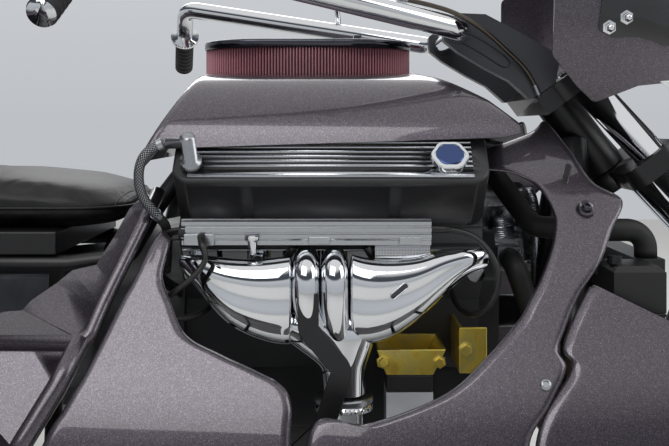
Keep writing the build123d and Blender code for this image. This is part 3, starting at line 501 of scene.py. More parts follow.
def mouldedRubber(name="mouldedRubber", colour="#121213", rough=0.6):
    # filled black rubber: matt, a little grey bloom
    material, tree, shader, coords = newMaterial(name, Roughness=rough)
    bloom = addNode(tree, "ShaderNodeTexNoise", {}, {"Scale": 22.0, "Detail": 6.0}, {"Vector": coords})
    tint(tree, shader, bloom.outputs["Fac"], [(0.35, colour), (0.8, "#232324")])
    grain = addNode(tree, "ShaderNodeTexNoise", {}, {"Scale": 900.0, "Detail": 2.0}, {"Vector": coords})
    addBump(tree, shader, grain.outputs["Fac"], 0.15, 0.0004)
    return material


def grainedLeather():
    # top-grain upholstery leather: pebbles 2.2 mm across, satin finish, slight grey on the high spots
    settings = {"Scale": 1 / 0.0022, "Smoothness": 0.4}
    material, tree, shader, coords = newMaterial("grainedLeather", Roughness=0.46, Specular_IOR_Level=0.36)
    pebble = addNode(tree, "ShaderNodeTexVoronoi", {"feature": "SMOOTH_F1"}, settings, {"Vector": coords})
    crease = addNode(tree, "ShaderNodeTexNoise", {}, {"Scale": 40.0, "Detail": 8.0}, {"Vector": coords})
    tint(tree, shader, crease.outputs["Fac"], [(0.3, "#0B0B0C"), (0.75, "#1B1B1E")])
    addBump(tree, shader, pebble.outputs["Distance"], 0.28, 0.0008)
    return material


def oiledGauze():
    # cotton gauze pleats soaked in red oil: painted highlight, pink, on each ridge and painted shade, dark red,
    # in the folds, by the depth in U
    material, tree, shader, coords = newMaterial("oiledCottonGauze", Roughness=0.62, Sheen_Weight=0.25)
    along = addNode(tree, "ShaderNodeUVMap", {"uv_map": "along"}).outputs["UV"]
    depth = addNode(tree, "ShaderNodeSeparateXYZ", links={"Vector": along}).outputs["X"]
    # the pleat depth sets painted shade in the folds and a painted highlight on the ridges
    tint(tree, shader, depth, [(0.1, "#2E1218"), (0.55, "#8A4552"), (0.9, "#C68C95")])
    weave = addNode(tree, "ShaderNodeTexChecker", {}, {"Scale": 900.0}, {"Vector": coords})
    addBump(tree, shader, weave.outputs["Fac"], 0.2, 0.0003)
    return material


def coverFinish():
    # black crackle paint; the fins' tops are machined bare, found by height along the bank
    settings = {"black": "#2A2A2C", "bare": "#C4C6CA", "finFoot": 0.4335, "finTop": 0.4352, "crackle": 0.0022}
    lean = (0.0, math.sin(math.pi / 4), math.cos(math.pi / 4))
    base = crankZ * lean[2]
    material, tree, shader, coords = newMaterial("crackleBlackFinned")
    apart = addNode(tree, "ShaderNodeVectorMath", {"operation": "ABSOLUTE"}, links={"Vector": coords})
    height = addNode(tree, "ShaderNodeVectorMath", {"operation": "DOT_PRODUCT"}, {1: lean},
                     {0: apart.outputs["Vector"]})
    fin = {"From Min": base + settings["finFoot"], "From Max": base + settings["finTop"]}
    bare = addNode(tree, "ShaderNodeMapRange", {}, fin, {"Value": height.outputs["Value"]}).outputs["Result"]
    tint(tree, shader, bare, [(0.3, settings["black"]), (0.6, settings["bare"])])
    tree.links.new(bare, shader.inputs["Metallic"])
    glossBetween(tree, shader, bare, 0.42, 0.2)
    cracks = {"Scale": 1 / settings["crackle"]}
    crackle = addNode(tree, "ShaderNodeTexVoronoi", {"feature": "DISTANCE_TO_EDGE"}, cracks, {"Vector": coords})
    addBump(tree, shader, crackle.outputs["Distance"], 0.18, 0.0006)
    return material


def tintedAcrylic():
    # smoked screen: dark, glossy both sides
    material, tree, shader, coords = newMaterial(
        "smokedAcrylic", Roughness=0.06, Alpha=0.9, Coat_Weight=1.0, Coat_Roughness=0.03)
    haze = addNode(tree, "ShaderNodeTexNoise", {}, {"Scale": 4.0, "Detail": 2.0}, {"Vector": coords})
    tint(tree, shader, haze.outputs["Fac"], [(0.3, "#08080A"), (0.7, "#131317")])
    return material


def lampLens(name, colour, rough=0.05, alpha=0.6):
    # clear moulded lens: prism lines about 8 mm apart, since the wave turns 20 radians to a unit of its scale
    settings = {"Scale": 1 / 0.004 / 6.28}
    material, tree, shader, coords = newMaterial(name, colour, Roughness=rough, Alpha=alpha, Coat_Weight=1.0)
    lines = addNode(tree, "ShaderNodeTexWave", {"bands_direction": "Z"}, settings, {"Vector": coords})
    addBump(tree, shader, lines.outputs["Fac"], 0.25, 0.0008)
    return material


def braidedSteel():
    # stainless braid over rubber: crossing strands 1.6 mm wide, drawn 3 mm wide so that they show, dark between
    # the strands as painted shade
    material, tree, shader, coords = newMaterial("stainlessBraid", Metallic=0.9, Roughness=0.3)
    along = addNode(tree, "ShaderNodeUVMap", {"uv_map": "along"}).outputs["UV"]
    waves = []
    for lean in (0.62, -0.62):
        turned = {"Rotation": (0, 0, lean), "Scale": (4.0, 105.0, 1.0)}
        skew = addNode(tree, "ShaderNodeMapping", {}, turned, {"Vector": along}).outputs["Vector"]
        waves.append(addNode(tree, "ShaderNodeTexWave", {}, {"Scale": 1.0}, {"Vector": skew}).outputs["Fac"])
    both = dict(enumerate(waves))
    woven = addNode(tree, "ShaderNodeMath", {"operation": "MULTIPLY"}, {}, both).outputs["Value"]
    # dark where either strand dips: painted shade between the strands
    tint(tree, shader, woven, [(0.02, "#2B2C2E"), (0.35, "#A9ABAE")])
    addBump(tree, shader, woven, 0.6, 0.0012)
    return material


def threadMaterial():
    # bonded nylon sewing thread: dull dark grey
    material, tree, shader, coords = newMaterial("bondedNylonThread", Roughness=0.55, Sheen_Weight=0.3)
    twist = addNode(tree, "ShaderNodeTexNoise", {}, {"Scale": 900.0}, {"Vector": coords})
    tint(tree, shader, twist.outputs["Fac"], [(0.3, "#3A3A3D"), (0.7, "#55565A")])
    return material


def perforatedSteel():
    # polished strip with staggered 2 mm holes on a 3.4 mm pitch, shown dark
    radians = {1: 2 * math.pi / 0.0034}
    material, tree, shader, coords = newMaterial("perforatedSteel", Metallic=1.0, Roughness=0.2)
    turned = addNode(tree, "ShaderNodeMapping", {}, {"Rotation": (0, math.radians(45), 0)}, {"Vector": coords})
    parts = addNode(tree, "ShaderNodeSeparateXYZ", links={"Vector": turned.outputs["Vector"]})
    waves = []
    for axis in ("X", "Z"):
        angle = addNode(tree, "ShaderNodeMath", {"operation": "MULTIPLY"}, radians, {0: parts.outputs[axis]})
        wave = addNode(tree, "ShaderNodeMath", {"operation": "SINE"}, {}, {0: angle.outputs["Value"]})
        waves.append(wave.outputs["Value"])
    both = dict(enumerate(waves))
    hole = addNode(tree, "ShaderNodeMath", {"operation": "MULTIPLY"}, {}, both).outputs["Value"]
    # the holes are painted dark: painted shade in place of real openings
    tint(tree, shader, hole, [(0.25, "#C9CBCE"), (0.4, "#0A0A0B")])
    return material


paint = metallicBodyPaint()
braid = braidedSteel()
thread = threadMaterial()
wireRubber = mouldedRubber("siliconeWireJacket", "#0D0D0E", 0.38)
chrome = mirrorChrome()
darkChrome = mirrorChrome("smokedChrome", "#4A4B52", 0.16)
steel = mirrorChrome("zincPlatedSteel", "#A7A9AD", 0.24)
black = satinPaint("satinBlackPowderCoat", "#0F0F11")
cableSheath = mirrorChrome("bronzedSteelSheath", "#5E5750", 0.34)
engineBlack = satinPaint("engineEnamelCharcoal", "#2A2B2D", 0.44, 0.003, 0.3)
riserGrey = satinPaint("darkGreySatin", "#2B2C30", 0.38)
paleGrey = satinPaint("paleGreyEnamel", "#B4B7BB", 0.34)
cast = castAlloy()
brightCast = castAlloy("polishedCasting", "#B4B6BA", 0.3)
brushed = brushedAlloy()
zinc = goldZinc()
rubber = mouldedRubber()
tyreRubber = mouldedRubber("tyreRubber", "#101011", 0.72)
leather = grainedLeather()
gauze = oiledGauze()
coverBlack = coverFinish()
blueAnodised = mirrorChrome("blueAnodisedAluminium", "#46557F", 0.22)
screen = tintedAcrylic()
perforated = perforatedSteel()
redLens = lampLens("redLens", "#8E0A0E", alpha=0.85)
headlampGlass = lampLens("headlampGlass", "#C9CED4", 0.08, 0.9)
print("finishes ready")

nodeFinish = {  # finish and edge radius of the solids that are shown as they are
    "frame": (black, 0), "engine_block": (engineBlack, 0.002), "cylinder_heads": (engineBlack, 0.002),
    "valve_covers": (coverBlack, 0), "breather": (steel, 0), "intake_manifold": (brightCast, 0),
    "air_filter_lid": (darkChrome, 0), "exhaust_pipes": (chrome, 0), "engine_mounts": (zinc, 0.003),
    "mount_rubbers": (rubber, 0.003), "mount_pedestals": (paleGrey, 0.002), "belt_drive": (steel, 0),
    "alternator": (brightCast, 0), "radiator": (black, 0.002), "coolant_tank": (black, 0.004),
    "coolant_hoses": (rubber, 0), "gearbox": (cast, 0), "rear_axle": (black, 0), "rear_tub": (paint, 0),
    "seat_pan": (black, 0.003), "foot_boards": (brushed, 0.002), "tail_lamps": (redLens, 0.003),
    "triple_clamps": (black, 0), "fork_legs": (chrome, 0), "risers": (riserGrey, 0.003),
    "handlebar": (chrome, 0), "fairing": (paint, 0), "windscreen": (screen, 0), "headlamp": (chrome, 0),
    "front_mudguard": (paint, 0), "mirrors": (chrome, 0), "front_rim": (chrome, 0.001),
    "rear_rim_right": (chrome, 0.001), "rear_rim_left": (chrome, 0.001), "top_rails": (black, 0),
    "cross_tubes": (black, 0), "steering_head": (black, 0), "header_stay": (black, 0.002),
    "tub_sides": (paint, 0), "rear_fenders": (paint, 0),
}
for node, (finish, edge) in nodeFinish.items():
    smoothedNode(node, finish, edge)
print("CAD solids dressed")


def shellFrom(name, points, outward, thickness, material, body, angle=50):
    # grid of the outer face, made a closed shell of the given thickness on its inner side
    faces = gridFaces(*points.shape[:2])
    corners = points.reshape(-1, 3)[faces]
    normal = np.cross(corners[:, 1] - corners[:, 0], corners[:, 2] - corners[:, 0]).sum(axis=0)
    if normal @ np.asarray(outward, float) < 0:
        faces = faces[:, ::-1]
    piece = newPiece(name, points, faces, material, body)
    wall = piece.modifiers.new("wall", "SOLIDIFY")
    wall.thickness = thickness
    wall.offset = -1.0
    applyModifiers(piece)
    return faceOut(piece, angle)


def sectionY(z):
    # half width of the body's side at each height, a smooth line through the section's corners
    corners = [(60, 880), (95, 850), (300, 705), (420, 520), (490, 390), (530, 250), (540, 150)]
    line = throughLine(corners, 400)[::-1]
    return np.interp(z, line[:, 1], line[:, 0])


def bodySkin(name, stations, side):
    # panel between two edge lines (x, z of the outer and of the inner edge at each station), laid on the body's
    # side, its edges curled in: depth*(1 - sqrt(1 - e^2)), e rising from 0 to 1 over the curl's width
    settings = {"rows": 120, "columns": 44, "curl": 9.0, "width": 13.0, "wall": 0.004}
    x0, z0, x1, z1 = throughLine(stations, settings["rows"]).T[..., None]
    half = np.hypot(x1 - x0, z1 - z0) / 2
    bend = np.linspace(-1, 1, settings["columns"])[None]
    u = 0.5 + 0.5 * np.sign(bend) * (1 - (1 - np.abs(bend)) ** 1.7)  # columns crowd towards both edges
    x, z = x0 + (x1 - x0) * u, z0 + (z1 - z0) * u
    inside = np.minimum(u, 1 - u) * 2 * half
    e = np.clip(1 - inside / settings["width"], 0, 1)
    y = -sectionY(z) + settings["curl"] * (1 - np.sqrt(np.clip(1 - e ** 2, 0, 1)))
    points = metres(np.stack([x, y, z], axis=-1), side)
    return shellFrom(name, points, (0, -side, 0.4), settings["wall"], paint, "chassis")


armStations = [
    (250, 788, 250, 757), (342, 819, 290, 752), (374, 838, 322, 737), (396, 798, 337, 715),
    (420, 740, 343, 700), (459, 712, 345, 683), (433, 670, 338, 654), (406, 622, 325, 625),
    (369, 578, 310, 597), (340, 530, 292, 570), (327, 503, 274, 544), (335, 481, 225, 498),
    (306, 434, 158, 448), (273, 386, 50, 411), (268, 300, -36, 400), (262, 180, -40, 180),
]
cowlStations = [
    (392, 591, 560, 511), (375, 577, 560, 480), (334, 509, 560, 425), (341, 478, 560, 395),
    (281, 386, 560, 300), (268, 180, 420, 180),
]
panelStations = [
    (-272, 666, -264, 668), (-283, 648, -254, 650), (-305, 595, -260, 604), (-318, 570, -246, 570),
    (-338, 524, -219, 524), (-352, 492, -166, 498), (-362, 470, -114, 477), (-374, 448, -76, 459),
    (-386, 425, -61, 435), (-405, 392, -62, 393), (-440, 290, -62, 290), (-480, 180, -62, 180),
]
armPieces = []
for side in (1, -1):
    armPieces += [bodySkin("arm", armStations, side), bodySkin("cowl", cowlStations, side)]
armSkins = standFor(mergePieces("armSkins", armPieces), "side_arms")
panelPieces = [bodySkin("panel", panelStations, side) for side in (1, -1)]
standFor(mergePieces("panelSkins", panelPieces), "side_panels")


def tankCover():
    # the section (half width, height) runs over the cover; its top is held under the side outline by a soft
    # minimum -k ln(exp(-a/k) + exp(-b/k)), its foot follows the lower edge
    settings = {"columns": 110, "rows": 120, "soft": 7.0, "wall": 0.004, "hole": (200.5, 123), "holeX": -50}
    corners = [(0, 925), (80, 925), (150, 921), (222, 902), (292, 850), (318, 797), (324, 745)]
    section = throughLine(corners, 500)
    xs = -309 + 601 * (1 - np.cos(np.linspace(0, np.pi, settings["rows"]))) / 2
    top = np.interp(xs, [-309, -222, 140, 200, 250, 292], [775, 935, 935, 903, 874, 837])
    low = np.interp(xs, [-309, -288, -272, 262, 292], [753, 776, 795, 812, 819])
    share = np.linspace(-1, 1, settings["columns"])
    points = np.empty((len(xs), len(share), 3))
    for k, (x, high, foot) in enumerate(zip(xs, top, low)):
        height = -settings["soft"] * np.log(np.exp(-(section[:, 1] - high) / settings["soft"]) + 1) + high
        keep = height >= foot
        y = np.append(section[keep, 0], np.interp(-foot, -height, section[:, 0]))
        z = np.append(height[keep], foot)
        reach = np.r_[0, np.cumsum(np.hypot(np.diff(y), np.diff(z)))]
        at = np.abs(share) * reach[-1]
        across = np.interp(at, reach, y) * -np.sign(share)
        points[k] = np.stack([np.full(len(share), x), across, np.interp(at, reach, z)], axis=1)
    cover = shellFrom("tankCover", metres(points), (0, 0, 1), settings["wall"], paint, "chassis")
    rings = [[(settings["holeX"] + f * settings["hole"][0] * np.cos(t), f * settings["hole"][1] * np.sin(t), z)
              for t in turns(120)] for f, z in ((0.01, 860), (1, 860), (1, 990), (0.01, 990))]
    cutter = ringsPiece("holeCutter", metres(rings), paint, 40)
    hole = cover.modifiers.new("filterHole", "BOOLEAN")
    hole.operation = "DIFFERENCE"
    hole.object = cutter
    applyModifiers(cover)
    bpy.data.objects.remove(cutter)
    cover.data.set_sharp_from_angle(angle=math.radians(50))
    standFor(cover, "tank_shell")


tankCover()


def armBoss(side):
    # round boss with a dished face, square to the arm
    profile = [(-0.008, 0), (-0.008, 0.016), (0.001, 0.0155), (0.006, 0.0135), (0.0085, 0.0125),
               (0.0095, 0.011), (0.0085, 0.0095), (0.0085, 0)]
    axis = np.array([0, -0.84 * side, 0.545])
    return revolved("boss", profile, metres([395, -sectionY(698), 698], side), axis, paint, "chassis", 40)


armBosses = trim("armBosses", [armBoss(1), armBoss(-1)])


def oblongInlay(name, piece, place, along, size, side, material, lift=0.0006):
    # oblong patch laid on a piece: grid of rays along Y, lifted off the face by a little, with a rounded rim
    settings = {"rows": 9, "columns": 25, "thickness": 0.0012, "bead": 0.0009}
    length, width = size
    aim = np.array([math.cos(along), math.sin(along)])
    across = np.array([-aim[1], aim[0]])
    t = np.linspace(-1, 1, settings["columns"])
    beyond = np.clip((np.abs(t) * length / 2 - (length - width) / 2) / (width / 2), 0, 1)
    bow = np.sqrt(np.clip(1 - beyond ** 2, 0.0004, 1))
    grid = [[np.array(place) + aim * tt * length / 2 + across * w * bb * width / 2 for tt, bb in zip(t, bow)]
            for w in np.linspace(-1, 1, settings["rows"])]
    hit, normal = onFace(piece, np.reshape(grid, (-1, 2)), side)
    points = (hit + normal * lift).reshape(settings["rows"], settings["columns"], 3)
    patch = shellFrom(name, points, (0, -side, 0), settings["thickness"], material, "chassis", 40)
    rim = np.concatenate([points[0], points[1:-1, -1], points[-1, ::-1], points[-2:0:-1, 0]])
    rim = np.vstack([rim, rim[:1]])
    own = piece.data.materials[0]
    bead = tubePiece(name + "Rim", rim, settings["bead"], own, "chassis", 8, (0, 1, 0))
    return mergePieces(name, [patch, bead])


# a black patch on each arm: painted shade standing in for the recess of the hook slot
hooks = [oblongInlay("hookSlotShade", armSkins, (380, 752), math.radians(60), (34, 9), side, black)
         for side in (1, -1)]
trim("hookSlotShades", hooks)
print("body skins made")


def oilCap():
    # six-lobed knob: rim radius R*(1 + 0.045 cos 6a) under a flat blue disc, chrome skirt below
    place, up = metres(onBank(178, -26, 436)), bankNormal
    u = np.array([1.0, 0, 0])
    v = np.cross(up, u)
    a = turns(96)[:, None]
    swing = 0.045 * np.cos(6 * a)
    skirt = [(0, 0), (0, 0.024), (0.005, 0.0245), (0.007, 0.0285), (0.009, 0.029), (0.017, 0.029),
             (0.019, 0.0275), (0.0195, 0.0225), (0.0185, 0.022), (0.0185, 0)]
    disc = [(0.0182, 0), (0.0182, 0.0219), (0.0196, 0.0216), (0.0206, 0.020), (0.0206, 0)]
    pieces = []
    for profile, material, lobe in ((skirt, chrome, 1 + swing), (disc, blueAnodised, 1 + 0 * swing)):
        d, r = np.array(profile).T
        spin = np.cos(a)[..., None] * u + np.sin(a)[..., None] * v
        points = place + up * d[None, :, None] + (r[None] * lobe)[..., None] * spin
        faces = gridFaces(96, len(profile), closeRows=True)
        pieces.append(faceOut(newPiece("ring", points, faces, material, "chassis"), 30))
    standFor(mergePieces("oilCap", pieces), "oil_cap")


oilCap()


def headerLobe(name, stations, side):
    # pillow between a top and a bottom edge: (y/depth)^2.4 + (z/height)^2.4 = 1 at each station, a shallow
    # valley along the middle where two pipes run together, and square-root tapers that close both ends
    settings = {"steps": 110, "sides": 72, "power": 2.4, "valley": 0.11, "valleyWidth": 0.26, "cap": 0.05}
    x, low, high, y, depth = smoothLine(stations, settings["steps"]).T
    share = np.linspace(0, 1, settings["steps"])
    taper = np.sqrt(np.clip(1 - np.clip(1 - np.minimum(share, 1 - share) / settings["cap"], 0, 1) ** 2, 0, 1))
    a = turns(settings["sides"])
    cy, cz = [ellipseShare(f, settings["power"]) for f in (np.cos(a), np.sin(a))]
    rise = np.clip((share - 0.2) / 0.4, 0, 1)[:, None]
    hollow = np.exp(-((cz - 0.1) / settings["valleyWidth"]) ** 2)[None]
    valley = 1 - settings["valley"] * rise * hollow * (cy < 0)
    points = np.stack(np.broadcast_arrays(
        x[:, None], y[:, None] + (depth * taper)[:, None] * cy * valley,
        ((low + high) / 2)[:, None] + ((high - low) / 2 * taper)[:, None] * cz), axis=-1)
    return ringsPiece(name, metres(points, side), chrome, 60)


def headerFunnel(name, side):
    # rings round a falling centre line, from a wide oval to the round collector and its flange
    rings = np.array([  # height, middle x, middle y, half width, half depth
        [545, -22, -316, 8, 8], [541, -22, -316, 52, 28], [520, -18, -316, 78, 37], [498, -9, -316, 72, 37],
        [478, 2, -317, 55, 36], [462, 11, -318, 40, 35], [450, 14, -318, 34, 34], [414, 14, -318, 34, 34],
    ])
    a = turns(72)
    z, x, y, wide, deep = smoothLine(rings, 60).T[..., None]
    points = np.stack(np.broadcast_arrays(x + wide * np.cos(a), y + deep * np.sin(a), z), axis=-1)
    return ringsPiece(name, metres(points, side), chrome, 60)


def chromeHeader(side):
    rear = [
        (-247, 604, 622, -288, 9), (-240, 598, 625, -291, 14), (-218, 574, 627, -301, 23),
        (-190, 540, 625, -309, 31), (-160, 514, 622, -314, 36), (-120, 496, 621, -316, 38),
        (-84, 488, 625, -316, 38), (-62, 489, 627, -316, 33),
    ]
    front = [
        (246, 606, 630, -288, 9), (240, 602, 636, -291, 14), (214, 598, 638, -298, 22),
        (187, 578, 638, -304, 27), (160, 552, 634, -309, 31), (134, 528, 624, -313, 35),
        (84, 494, 620, -316, 38), (42, 488, 624, -316, 38), (20, 490, 632, -316, 32),
    ]
    settings = {"pipe": 0.0215, "pipeX": (-44, 0),
                "stubs": ((-224, 0.014), (-123.5, 0.020), (109, 0.020), (224, 0.014))}
    pieces = [headerLobe("rearLobe", rear, side), headerLobe("frontLobe", front, side)]
    pieces.append(headerFunnel("funnel", side))
    for x in settings["pipeX"]:
        route = [(x, -252, 612), (x, -290, 618), (x, -330, 616), (x, -342, 590), (x, -341, 545),
                 (0.7 * x + 3, -334, 512), (0.3 * x + 8, -324, 486), (14, -318, 458)]
        path = metres(smoothLine(route, 60), side)
        pieces.append(tubePiece("pipe", path, settings["pipe"], chrome, "chassis", 40, (1, 0, 0)))
    for x, radius in settings["stubs"]:
        path = metres(smoothLine([(x, -246, 608), (x, -275, 604), (x, -300, 596)], 12), side)
        pieces.append(tubePiece("stub", path, radius, chrome, "chassis", 32, (1, 0, 0)))
    turned = np.array([1, side, 1])
    axes = np.array([[1, 0, 0], bankAcross * turned, bankNormal * turned])
    flange = metres(onBank(-5.5, -82, 270), side)
    pieces.append(slab("plate", flange, (0.481, 0.008, 0.048), axes, chrome, "chassis"))
    rim = [(0, 0), (0, 0.044), (0.002, 0.046), (0.008, 0.046), (0.010, 0.044), (0.010, 0.030), (0.012, 0)]
    disc = metres([14, -318, 400], side)
    pieces.append(revolved("collectorFlange", rim, disc, (0, 0, 1), steel, "chassis"))
    return standFor(mergePieces("chromeHeader" + ("Right" if side > 0 else "Left"), pieces), "headers")


headers = [chromeHeader(side) for side in (1, -1)]
# a dark chrome patch on each header: painted shade standing in for the recess of the pressing
pressingShades = [oblongInlay("pressingShade", header, (99, 577), math.radians(40), (34, 9), side, darkChrome, 0.0004)
             for header, side in zip(headers, (1, -1))]
trim("headerPressingShades", pressingShades)
print("headers made")


def sparkWire(name, route, side):
    # jacketed wire with a moulded boot, widening over its last 24 mm, at each end
    settings = {"radius": 0.0047, "boot": 0.0066, "bootLength": 0.024, "count": 140}
    path = nurbsLine(metres(route, side), settings["count"])
    reach = runLength(path)
    near = np.minimum(reach, reach[-1] - reach) / settings["bootLength"]
    swell = np.clip(1.25 - near, 0, 0.25) / 0.25
    radii = settings["radius"] + (settings["boot"] - settings["radius"]) * swell
    return tubePiece(name, path, radii, wireRubber, "chassis", 16, (0.3, 0.2, 1))


wireRoutes = [
    [(-208, -318.1, 657), (-204, -338, 648), (-196, -345, 622), (-218, -352, 596), (-254, -352, 570),
     (-268, -338, 548), (-250, -318, 526), (-204, -290, 532), (-191, -250, 556), (-190, -219, 594)],
    [(-64, -304, 640.2), (-74, -296, 624), (-78, -258.7, 614.1)],
    [(50, -304, 640.2), (60, -297, 624), (64, -258.7, 614.1)],
    [(152.3, -304, 668), (190, -305, 668), (226, -316, 655), (250, -332, 622), (254, -340, 584),
     (240, -335, 550), (216, -308, 530), (198, -270, 538), (190, -240, 562), (188, -219, 594)],
]
wires = [sparkWire("wire", route, side) for route in wireRoutes for side in (1, -1)]
standFor(mergePieces("plugWires", wires), "plug_wires")


def ventHose():
    # braid-covered hose whose lower part is bare convoluted tube with crests 4.6 mm apart
    settings = {"radius": 0.0078, "pitch": 0.0046, "depth": 0.0014, "split": 0.52, "count": 520,
                "ferrule": 0.0092}
    route = [(-258.4, -363.5, 804), (-284, -363, 795), (-300, -358, 764), (-297, -347, 722),
             (-277, -325, 692), (-267, -290, 672), (-270, -255, 640), (-276, -240, 590)]
    path = nurbsLine(metres(route), settings["count"])
    cut = int(settings["split"] * settings["count"])
    crest = np.clip(0.5 + 0.9 * np.cos(2 * np.pi * runLength(path)[cut:] / settings["pitch"]), 0, 1)
    bare = settings["radius"] - settings["depth"] * (1 - crest)
    rows = [("braidedPart", path[:cut + 6], settings["radius"], braid, 32),
            ("convolutedPart", path[cut:], bare, rubber, 24),
            ("ferrule", path[cut - 8:cut + 8], settings["ferrule"], steel, 32),
            ("clamp", path[4:20], settings["ferrule"], steel, 32)]
    return mergePieces("ventHose", [tubePiece(name, part, radius, material, "chassis", sides, (1, 0, 0.2))
                                    for name, part, radius, material, sides in rows])


standFor(ventHose(), "breather_hose")


def controlCable():
    # sheathed cable from the bar's control down to the clamps, a ferrule at each end
    settings = {"radius": 0.004, "ferrule": 0.0052, "count": 160}
    route = [(104, -240, 1040), (150, -229, 1032.5), (205, -217, 1017.5), (254, -198, 990), (296, -176, 956),
             (328, -158, 930), (346, -152.2, 902), (354, -152.2, 880)]
    path = nurbsLine(metres(route), settings["count"])
    rows = [("sheath", path, settings["radius"], cableSheath),
            ("ferrule", path[:9], settings["ferrule"], steel),
            ("ferrule", path[-12:-2], settings["ferrule"], steel)]
    return mergePieces("controlCable", [tubePiece(name, part, radius, material, "fork", 20, (0.2, 1, 0.3))
                                        for name, part, radius, material in rows])


standFor(controlCable(), "control_cable")


def harness(side):
    # three wires out of the loom's rear end, round to the bell housing
    settings = {"strand": 0.0034, "grommet": 0.0125, "count": 60}
    pieces = []
    for dy, dz in ((-5, 6), (3, 0), (-3, -8)):
        route = [(-238, -304 + dy, 662 + dz), (-262, -306 + dy, 662 + dz), (-286, -292 + dy, 640 + dz),
                 (-294, -258 + dy, 606 + dz), (-284, -214, 570 + dz), (-262, -172, 548 + dz)]
        path = nurbsLine(metres(route, side), settings["count"])
        pieces.append(tubePiece("strand", path, settings["strand"], wireRubber, "chassis", 12, (0.2, 0.1, 1)))
    collar = np.linspace(*metres([[-244, -305, 662], [-234, -305, 662]], side), 6)
    return pieces + [tubePiece("grommet", collar, settings["grommet"], rubber, "chassis")]


trim("ignitionHarness", harness(1) + harness(-1))
print("wires and hose made")


def tyrePiece(name, node, axle, radius, width, rimRadius, shoulder, blocks, grooves):
    # profile r(y) = R - drop |2y/w|^p with a bulged side wall, carried round the axle; tread depth is cut where
    # the angle and the distance from the middle fall in a groove
    settings = {"depth": 0.007, "round": 600, "across": 48, "sipe": 0.16, "lean": 1.1}
    t = np.linspace(-1, 1, settings["across"])
    crown = radius - shoulder * np.abs(t) ** 2.6
    y = t * width * 0.46
    wall = np.linspace(0, 1, 14)[1:]
    wallY = width * (0.46 + 0.04 * np.sin(np.pi * wall) - 0.035 * wall ** 3)
    wallR = (radius - shoulder) * (1 - wall) + (rimRadius + 0.002) * wall
    bead = [width * 0.36, rimRadius + 0.0005]
    half = np.stack([wallY, wallR], axis=1)
    other = (half * [-1, 1])[::-1]
    profile = np.vstack([[[-bead[0], bead[1]]], other, np.stack([y, crown], axis=1), half, [bead]])
    a = turns(settings["round"])[:, None]
    py, pr = profile.T[:, None]
    side = np.abs(py) / (width / 2)
    onTread = np.clip((0.9 - side) / 0.04, 0, 1)
    turn = (a * blocks / (2 * np.pi) + settings["lean"] * side) % 1.0
    lateral = np.clip((settings["sipe"] - np.abs(turn - 0.5)) / 0.05, 0, 1) * (side > 0.22)
    ring = np.max([np.clip((0.035 - np.abs(side - g)) / 0.02, 0, 1) for g in grooves], axis=0)
    r = pr - settings["depth"] * onTread * np.maximum(lateral, ring)
    y = np.broadcast_to(axle[1] + py, r.shape)
    points = np.stack([axle[0] + r * np.cos(a), y, axle[2] + r * np.sin(a)], axis=-1)
    faces = gridFaces(*points.shape[:2], closeRows=True, closeColumns=True)
    standFor(faceOut(newPiece(name, points, faces, tyreRubber, bodyOfNode[node]), 38), node)


frontAxle = (0.973664 + engineX, 0, 0.335)
tyrePiece("frontTyre", "front_tyre", frontAxle, 0.335, 0.130, 0.222, 0.024, 62, (0.0, 0.34))
for side, word in ((-1, "right"), (1, "left")):
    rearAxle = (rearAxleX, side * 0.66, rearAxleZ)
    tyrePiece("rearTyre" + word.capitalize(), "rear_tyre_" + word, rearAxle, 0.35, 0.270, 0.208, 0.016, 58,
              (0.12, 0.44))
print("tyres made")


def springUnit(name, side):
    # helix: radius R about the unit's line, 7 turns, wire radius w; the damper body and rod lie inside it
    settings = {"foot": (-1278, -300, 382), "top": (-1250, -260, 592), "radius": 33, "wire": 0.0062, "turns": 7,
                "count": 340, "arm": 0.022}
    foot, top = [metres(settings[key], side) for key in ("foot", "top")]
    run = top - foot
    length = np.linalg.norm(run)
    n = run / length
    u = np.cross(n, [1, 0, 0])
    u /= np.linalg.norm(u)
    v = np.cross(n, u)
    t = np.linspace(0, 1, settings["count"])[:, None]
    a = 2 * np.pi * settings["turns"] * t
    coil = foot + run * (0.14 + 0.66 * t) + settings["radius"] / 1000 * (u * np.cos(a) + v * np.sin(a))
    pieces = [tubePiece("coil", coil, settings["wire"], darkChrome, "chassis", 12, n)]
    damper = [(0.02, 0.016), (0.025, 0.020), (0.035, 0.024), (0.04, 0.040), (0.046, 0.042), (0.05, 0.024),
              (0.10, 0.024), (0.12, 0.012), (0.17, 0.012), (0.172, 0.040), (0.180, 0.042), (0.186, 0.022),
              (0.206, 0.018)]
    pieces.append(revolved("damper", [(0, 0)] + damper + [(0.206, 0)], foot, n, steel, "chassis", 40))
    eye = [(-0.02, 0), (-0.02, 0.018), (0.02, 0.018), (0.02, 0)]
    pieces.append(revolved("eye", eye, foot + n * 0.006, (0, 1, 0), black, "chassis", 32))
    arm = [(-947, -300, 270), (-1000, -300, 272), (-1050, -300, 290), (-1150, -300, 316), (-1228, -300, 336)]
    pieces.append(tubePiece("arm", metres(smoothLine(arm, 40), side), settings["arm"], black, "chassis", 32))
    bush = [(-0.02, 0), (-0.02, 0.03), (0.02, 0.03), (0.02, 0)]
    pieces.append(revolved("bush", bush, metres([-940, -300, 270], side), (0, 1, 0), black, "chassis", 40))
    return mergePieces(name, pieces)


springUnits = [springUnit("unitRight", 1), springUnit("unitLeft", -1)]
standFor(mergePieces("springsAndArms", springUnits), "rear_suspension")
print("suspension made")


